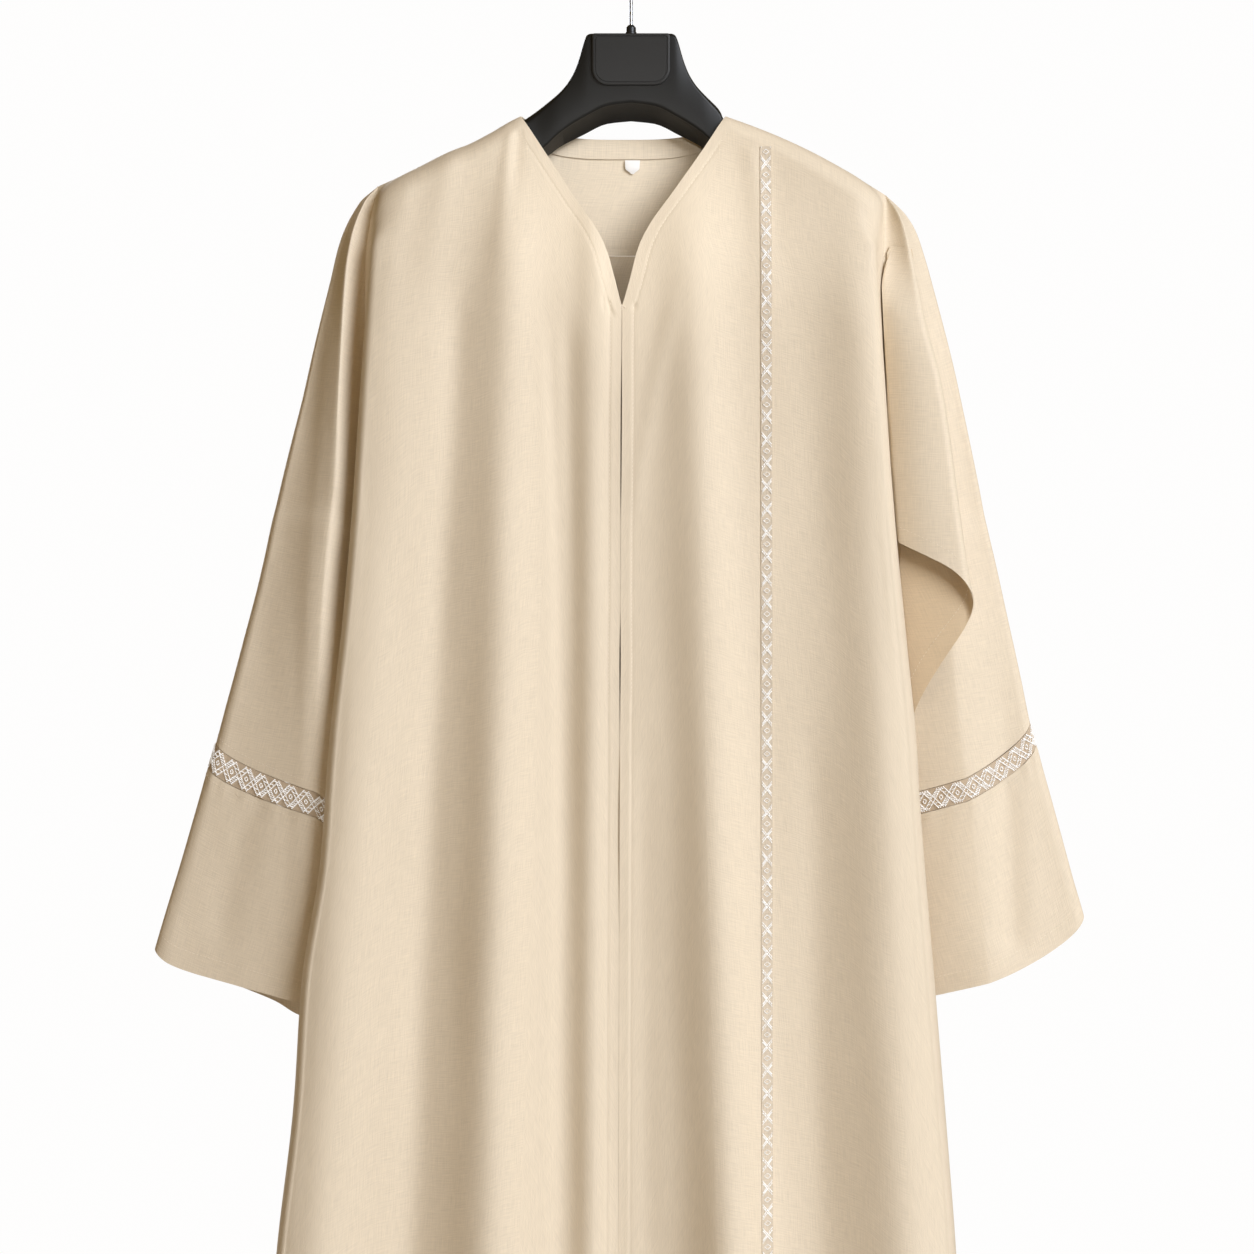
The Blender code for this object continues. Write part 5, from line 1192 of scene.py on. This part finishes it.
def lozenge_pattern(length, width, pitch, apart, bead, lean):
    """Flat places of the beads of a band: crossing pairs of strands with rungs between them, and
    small squares in the gaps. The band runs along the first measure and is centred on the second."""
    half = width / 2 - bead * 0.6
    run = lean * width
    places = []
    start = -run
    turn = 0
    while start < length:
        for sign in (-1, 1):
            for shift in (-apart / 2, apart / 2):
                begin = start + shift
                places.append(segment((begin, -sign * half), (begin + run, sign * half), bead * 1.02))
            for rung in RUNGS[(turn + (sign > 0)) % 2]:
                x = start + run * rung
                y = sign * half * (2 * rung - 1)
                places.append(segment((x - apart / 2, y), (x + apart / 2, y), bead * 0.95))
        centre = start + run * 0.5 + pitch / 2
        arm = pitch * SQUARE_SHARE
        for dx, dy in ((1, 0), (0, 1), (-1, 0), (0, -1)):
            begin, end = (centre + arm * dx, arm * 1.3 * dy), (centre - arm * dy, arm * 1.3 * dx)
            places.append(segment(begin, end, bead))
        start += pitch
        turn += 1
    flat = np.concatenate(places)
    keep = (flat[:, 0] > 0) & (flat[:, 0] < length)
    return flat[keep]


def bead_radii(bead, count):
    """Radii of a braid's beads, slightly uneven."""
    uneven = np.sin(np.arange(count) * 12.9898) * 0.5 + 0.5
    return bead * (BEAD_RADIUS + BEAD_JITTER * uneven)


def lattice(band, side):
    """Bead centres on a sleeve band."""
    ring = np.concatenate([band, band[:, :1]], axis=1)
    normal = side * normals(band, True)
    normal = np.concatenate([normal, normal[:, :1]], axis=1)
    middle = ring[len(ring) // 2]
    length = np.concatenate([[0.0], np.cumsum(np.linalg.norm(np.diff(middle, axis=0), axis=1))])
    width = float(np.linalg.norm(ring[-1] - ring[0], axis=-1).mean())
    pitch = length[-1] / max(round(length[-1] / BAND_PITCH), 1)
    flat = lozenge_pattern(length[-1], width, pitch, BAND_APART, BEAD, BAND_LEAN)
    column = np.interp(flat[:, 0], length, np.arange(len(length)))
    row = (0.5 - flat[:, 1] / width) * (len(ring) - 1)
    i = np.clip(row.astype(int), 0, len(ring) - 2)
    j = np.clip(column.astype(int), 0, len(length) - 2)
    s, t = (row - i)[:, None], (column - j)[:, None]

    def at(values):
        return ((1 - s) * (1 - t) * values[i, j] + (1 - s) * t * values[i, j + 1]
                + s * (1 - t) * values[i + 1, j] + s * t * values[i + 1, j + 1])

    up = at(normal)
    up /= np.linalg.norm(up, axis=1, keepdims=True)
    radii = bead_radii(BEAD, len(flat))
    return at(ring) + up * (radii * BEAD_SINK)[:, None], radii


def build_front_trim(braid_look, bead_look):
    low, high = TRIM_X
    top = float(ridge_z(LEFT, np.array(high))) - TRIM_START
    z = np.arange(top, HEM_Z + 0.8, -4.0)
    x = np.linspace(low, high, 5)
    strip = front_surface(LEFT, *np.meshgrid(x, z))
    strip[..., 1] -= TRIM_LIFT
    shell("cloth_front_trim", strip, braid_look, outward=-1, wall=0.4)
    length = top - HEM_Z - 1.0
    flat = lozenge_pattern(length, high - low, TRIM_PITCH, TRIM_APART, TRIM_BEAD, TRIM_LEAN)
    flat = flat[flat[:, 0] < length - 1]
    centre_x = (low + high) / 2 + flat[:, 1]
    points = front_surface(LEFT, centre_x, top - flat[:, 0])
    radii = bead_radii(TRIM_BEAD, len(flat))
    points[:, 1] -= TRIM_LIFT + radii * BEAD_SINK
    piece("beads_front_trim", [beads(points, radii)], bead_look)


def sleeve_face(side, x, z):
    """Depth of a sleeve's front at x, z, on either side of its ridge."""
    outer, inner, ridge_at = sleeve_width(side, z)
    at = np.clip((outer - x) / np.maximum(outer - inner, 1e-6), 0, 1)
    before = RIDGE_SHARE * (at / ridge_at) ** (1 / RISE_SPREAD)
    beyond = mix(RIDGE_SHARE, 1.0, (at - ridge_at) / np.maximum(1 - ridge_at, 1e-6))
    share = np.where(at < ridge_at, before, beyond)
    return sleeve_point(side, np.clip(share, 0, 1), z, np.full(np.shape(z), -1))[1]


def build_flap(cloth_look, painted_shade_look):
    grid = flap_grid(FLAP_COLUMNS, FLAP_ROWS)
    x, z = grid[..., 0], grid[..., 2]
    share = np.linspace(0, 1, FLAP_COLUMNS + 1)[None, :]
    rest = mix(FLAP_REST, FLAP_REST_BACK, smooth((share - FLAP_REST_FROM) / FLAP_REST_WIDE))
    lies = sleeve_face(LEFT, x - SEAM_GAP, z) - rest
    free = smooth((FLAP_TOP_Z - z) / FLAP_REST_OVER)
    grid[..., 1] = mix(lies, grid[..., 1], free)
    fade = smooth(share / FLAP_SEAM_SHARE) * smooth((1 - share) / FLAP_SEAM_SHARE) * free
    grid += -normals(grid, False) * (FLAP_RIPPLE * ripple(x, z, FLAP_PHASE) * fade)[..., None]
    # Its inner face takes the darker linen: painted shade inside the flap
    shell("cloth_sleeve_left_flap", grid, cloth_look, outward=-1,
          painted_shade_inside=painted_shade_look)
    normal = -normals(grid, False)
    front, back = FLAP_STITCHES, FLAP_BACK_STITCHES
    inside = grid[back] - normal[back] * (SHELL + 0.1)
    rows = [stitches(grid[front], normal[front]), stitches(inside, -normal[back])]
    piece("stitches_sleeve_left_flap", rows, THREAD_LOOK)


def rounded_section(half_depth, low_front, low_back, top, radius, lower_radius, steps):
    """Cross-section of the hanger in y and z, with rounded corners."""
    corners = [(-half_depth, low_front, lower_radius, math.pi, 1.5 * math.pi),
               (half_depth, low_back, lower_radius, 1.5 * math.pi, 2 * math.pi),
               (half_depth, top, radius, 0.0, 0.5 * math.pi),
               (-half_depth, top, radius, 0.5 * math.pi, math.pi)]
    points = []
    for y, z, r, start, end in corners:
        cy = y - math.copysign(r, y)
        cz = z - r if z == top else z + r
        for step in range(steps + 1):
            angle = start + (end - start) * step / steps
            points.append((cy + r * math.cos(angle), cz + r * math.sin(angle)))
    return points


def build_hanger(black, plate_look, steel, collar_look):
    near_end = HANGER_END - np.array([0.3, 1, 2, 4, 7])
    outs = np.unique(np.concatenate([
        denser(HANGER_TOP["out"], 3), np.linspace(0, HANGER_END, 40), near_end]))
    stations = [(RIGHT, out) for out in outs[:0:-1]] + [(LEFT, out) for out in outs]
    sections = []
    for side, out in stations:
        half = float(read(HANGER_HALF, "half", out, key="out"))
        half *= mix(HANGER_END_HALF, 1.0, float(quarter((HANGER_END - out) / HANGER_END_ROUND)))
        if out > NECK_X[side]:
            top = float(ridge_z(side, np.array(out))) - WALL - HANGER_TOP_GAP
            rounding = half - 0.05
        else:
            top = float(read(HANGER_TOP, "right" if side == RIGHT else "left", out, key="out"))
            rounding = mix(HANGER_CORNER, half - 0.05, float(smooth((out - CREST_OUT) / CREST_BLEND)))
        low = float(read(HANGER_LOW, "z", out, key="out"))
        slant = float(read(HANGER_LOW, "slant", out, key="out"))
        section = rounded_section(half, low, low - slant, top, rounding, HANGER_FOOT, 7)
        sections.append([(side * out, y, z) for y, z in section])
    verts = [point for section in sections for point in section]
    body = verts, loft(len(sections), len(sections[0]))
    piece("shown_hanger_body", [body], black, "hanger_body", 40.0)
    build_plate(plate_look)
    build_hook(steel, collar_look)


def plate_outline(inset, steps=12):
    """Outline of the name plate in x and z, drawn in by inset."""
    points = []
    top_corner = PLATE_TOP_CORNER
    left, right = PLATE_X[0] + inset, PLATE_X[1] - inset
    top, low = PLATE_TOP_Z - inset, PLATE_LOW_Z + inset
    corner = PLATE_CORNER - inset
    for cx, cz, r, start in ((right - top_corner, top - top_corner, top_corner, 0.5 * math.pi),
                             (right - corner, low + corner, corner, 0.0),
                             (left + corner, low + corner, corner, -0.5 * math.pi),
                             (left + top_corner, top - top_corner, top_corner, -math.pi)):
        for step in range(steps + 1):
            angle = start - 0.5 * math.pi * step / steps
            points.append((cx + r * math.cos(angle), cz + r * math.sin(angle)))
    return points


def build_plate(look):
    """The bare name plate, slightly proud, with rounded edges and a shallow groove round its face."""
    back = -float(HANGER_HALF["half"][0])
    verts = [(x, back - out, z) for inset, out in PLATE_LEVELS for x, z in plate_outline(inset)]
    faces = loft(len(PLATE_LEVELS), len(verts) // len(PLATE_LEVELS))
    faces = [face[::-1] for face in faces]
    piece("shown_hanger_plate", [(verts, faces)], look, "hanger_plate", PLATE_SHARP)


def build_hook(steel, collar_look):
    """The wire hook with its rounded tip, and the collar that it stands in."""
    centre_z = -(HOOK_RADIUS - WIRE / 2)
    path = [(0.0, 0.0, COLLAR_TOP_Z - 2.0)]
    path += [(0.0, 0.0, z) for z in np.linspace(COLLAR_TOP_Z, centre_z - HOOK_RADIUS - 8.0, 8)]
    for step in range(97):
        angle = -0.5 * math.pi + HOOK_TURN * step / 96
        path.append((HOOK_RADIUS * math.cos(angle), 0.0, centre_z + HOOK_RADIUS * math.sin(angle)))
    piece("shown_hanger_hook", [tube(path, WIRE / 2, 16)], steel, "hanger_hook")
    piece("hook_tip", [beads(path[-1:], WIRE / 2 * 1.02)], steel)
    ring = round_points(40)
    verts = [(r * c, r * s, z) for r, z in COLLAR_PROFILE for c, s in ring]
    collar = verts, loft(len(COLLAR_PROFILE), len(ring))
    piece("shown_hanger_collar", [collar], collar_look, "hanger_collar", 30.0)


def build_closure():
    """The small thread loop that closes the front at the point of the neckline."""
    y = float(front_surface(LEFT, np.array([4.0]), np.array([LOOP_Z]))[0, 1])
    angle = np.linspace(0, 2 * math.pi, 19)
    path = np.stack([LOOP_X + LOOP_WIDE * np.cos(angle), np.full_like(angle, y - 2 * LOOP_THREAD),
                     LOOP_Z + LOOP_HIGH * np.sin(angle)], axis=-1)
    knot = beads([(LOOP_X + 0.2, y - 0.8, LOOP_Z + 0.1)], 2 * LOOP_THREAD)
    piece("front_closure", [tube(path, LOOP_THREAD, 8), knot], THREAD_LOOK)


def lamp(data, at, aim):
    """Stands a lamp at a place and turns it to its aim."""
    made = bpy.data.objects.new(data.name, data)
    bpy.context.scene.collection.objects.link(made)
    made.location = at
    made.rotation_euler = (Vector(aim) - Vector(at)).to_track_quat("-Z", "Y").to_euler()
    made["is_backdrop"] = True


def build_stage():
    """Floor, backdrop light, lamps and camera."""
    count = FLOOR_SIDES
    verts = [(0.0, 0.0, 0.0)] + [(FLOOR_RADIUS * c, FLOOR_RADIUS * s, 0.0) for c, s in round_points(count)]
    faces = [[0, 1 + k, 1 + (k + 1) % count] for k in range(count)]
    mesh = bpy.data.meshes.new("floor")
    mesh.from_pydata(verts, [], faces)
    floor = bpy.data.objects.new("floor", mesh)
    floor.location = (0.0, 0.0, FLOOR_Z)
    bpy.context.scene.collection.objects.link(floor)
    mesh.materials.append(plain("floor_look", (0.86, 0.85, 0.84), 0.8))
    floor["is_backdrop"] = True
    world = bpy.data.worlds.new("studio")
    bpy.context.scene.world = world
    world.use_nodes = True
    tree = world.node_tree
    sky = tree.nodes["Background"]
    path = tree.nodes.new("ShaderNodeLightPath")
    colour = tree.nodes.new("ShaderNodeMix")
    colour.data_type = "RGBA"
    colour.inputs[6].default_value = AMBIENT_COLOUR
    colour.inputs[7].default_value = BACKDROP_COLOUR
    tree.links.new(path.outputs["Is Camera Ray"], colour.inputs[0])
    tree.links.new(colour.outputs[2], sky.inputs["Color"])
    strength = node(tree, "ShaderNodeMapRange", From_Min=0.0, From_Max=1.0, To_Min=AMBIENT, To_Max=BACKDROP)
    tree.links.new(path.outputs["Is Camera Ray"], strength.inputs["Value"])
    tree.links.new(strength.outputs[0], sky.inputs["Strength"])
    for name, at, aim, size, power, tint in LAMPS:
        data = bpy.data.lights.new(name, "AREA")
        data.shape = "DISK"
        data.size = size
        data.energy = power
        data.color = tint
        lamp(data, at, aim)
    neck = bpy.data.lights.new("neck_fill", "SPOT")
    neck.energy = NECK_POWER
    neck.spot_size = NECK_CONE
    neck.spot_blend = NECK_BLEND
    neck.shadow_soft_size = NECK_SIZE
    lamp(neck, NECK_AT, NECK_AIM)
    data = bpy.data.cameras.new("camera")
    data.lens = CAMERA_LENS
    data.sensor_width = 36.0
    camera = bpy.data.objects.new("camera", data)
    bpy.context.scene.collection.objects.link(camera)
    camera.location = CAMERA_AT
    camera.rotation_euler = (math.radians(90), 0.0, 0.0)
    bpy.context.scene.camera = camera
    bpy.context.scene.view_settings.view_transform = "Standard"


def write_bounds(when, sizes):
    low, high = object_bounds()
    sizes[when] = [[float(v) for v in low], [float(v) for v in high]]


sizes = {}
write_bounds("frame", sizes)
THREAD_LOOK = plain("thread", (0.86, 0.76, 0.62), 0.6)
linen_look = linen("linen_cloth")
braid_look = linen("braid_ground", (0.58, 0.46, 0.33), 2.0)
trim_look = linen("trim_ground", (0.68, 0.58, 0.45), 2.0)
# The beads glow faintly: painted light, standing in for their glints even in shade
bead_look = plain("silver_white_beads", (0.96, 0.955, 0.94), 0.25, coat=0.6, painted_glow=0.16)
label_look = plain("label_satin", (0.93, 0.91, 0.88), 0.45)
black = plain("hanger_black", (0.0085, 0.0085, 0.008), 0.40, grain=0.25, shine=0.3)
plate_look = plain("plate_grey", (0.022, 0.022, 0.0215), 0.45, grain=0.2, shine=0.35)
steel = plain("plated_wire", (0.52, 0.57, 0.66), 0.22, metallic=1.0)
collar_look = plain("dark_collar", (0.020, 0.021, 0.023), 0.35, metallic=0.3, shine=0.5)

build_fronts(linen_look)
build_back(linen_look, label_look)
build_sleeve(RIGHT, "sleeve_right", linen_look, braid_look, bead_look)
build_sleeve(LEFT, "sleeve_left", linen_look, braid_look, bead_look)
# The flap's inner face gets a darker linen: painted shade
build_flap(linen_look, linen("linen_inside_painted_shade", INSIDE_PAINTED_SHADE))
build_front_trim(trim_look, bead_look)
build_hanger(black, plate_look, steel, collar_look)
build_closure()
build_stage()
write_bounds("shown", sizes)
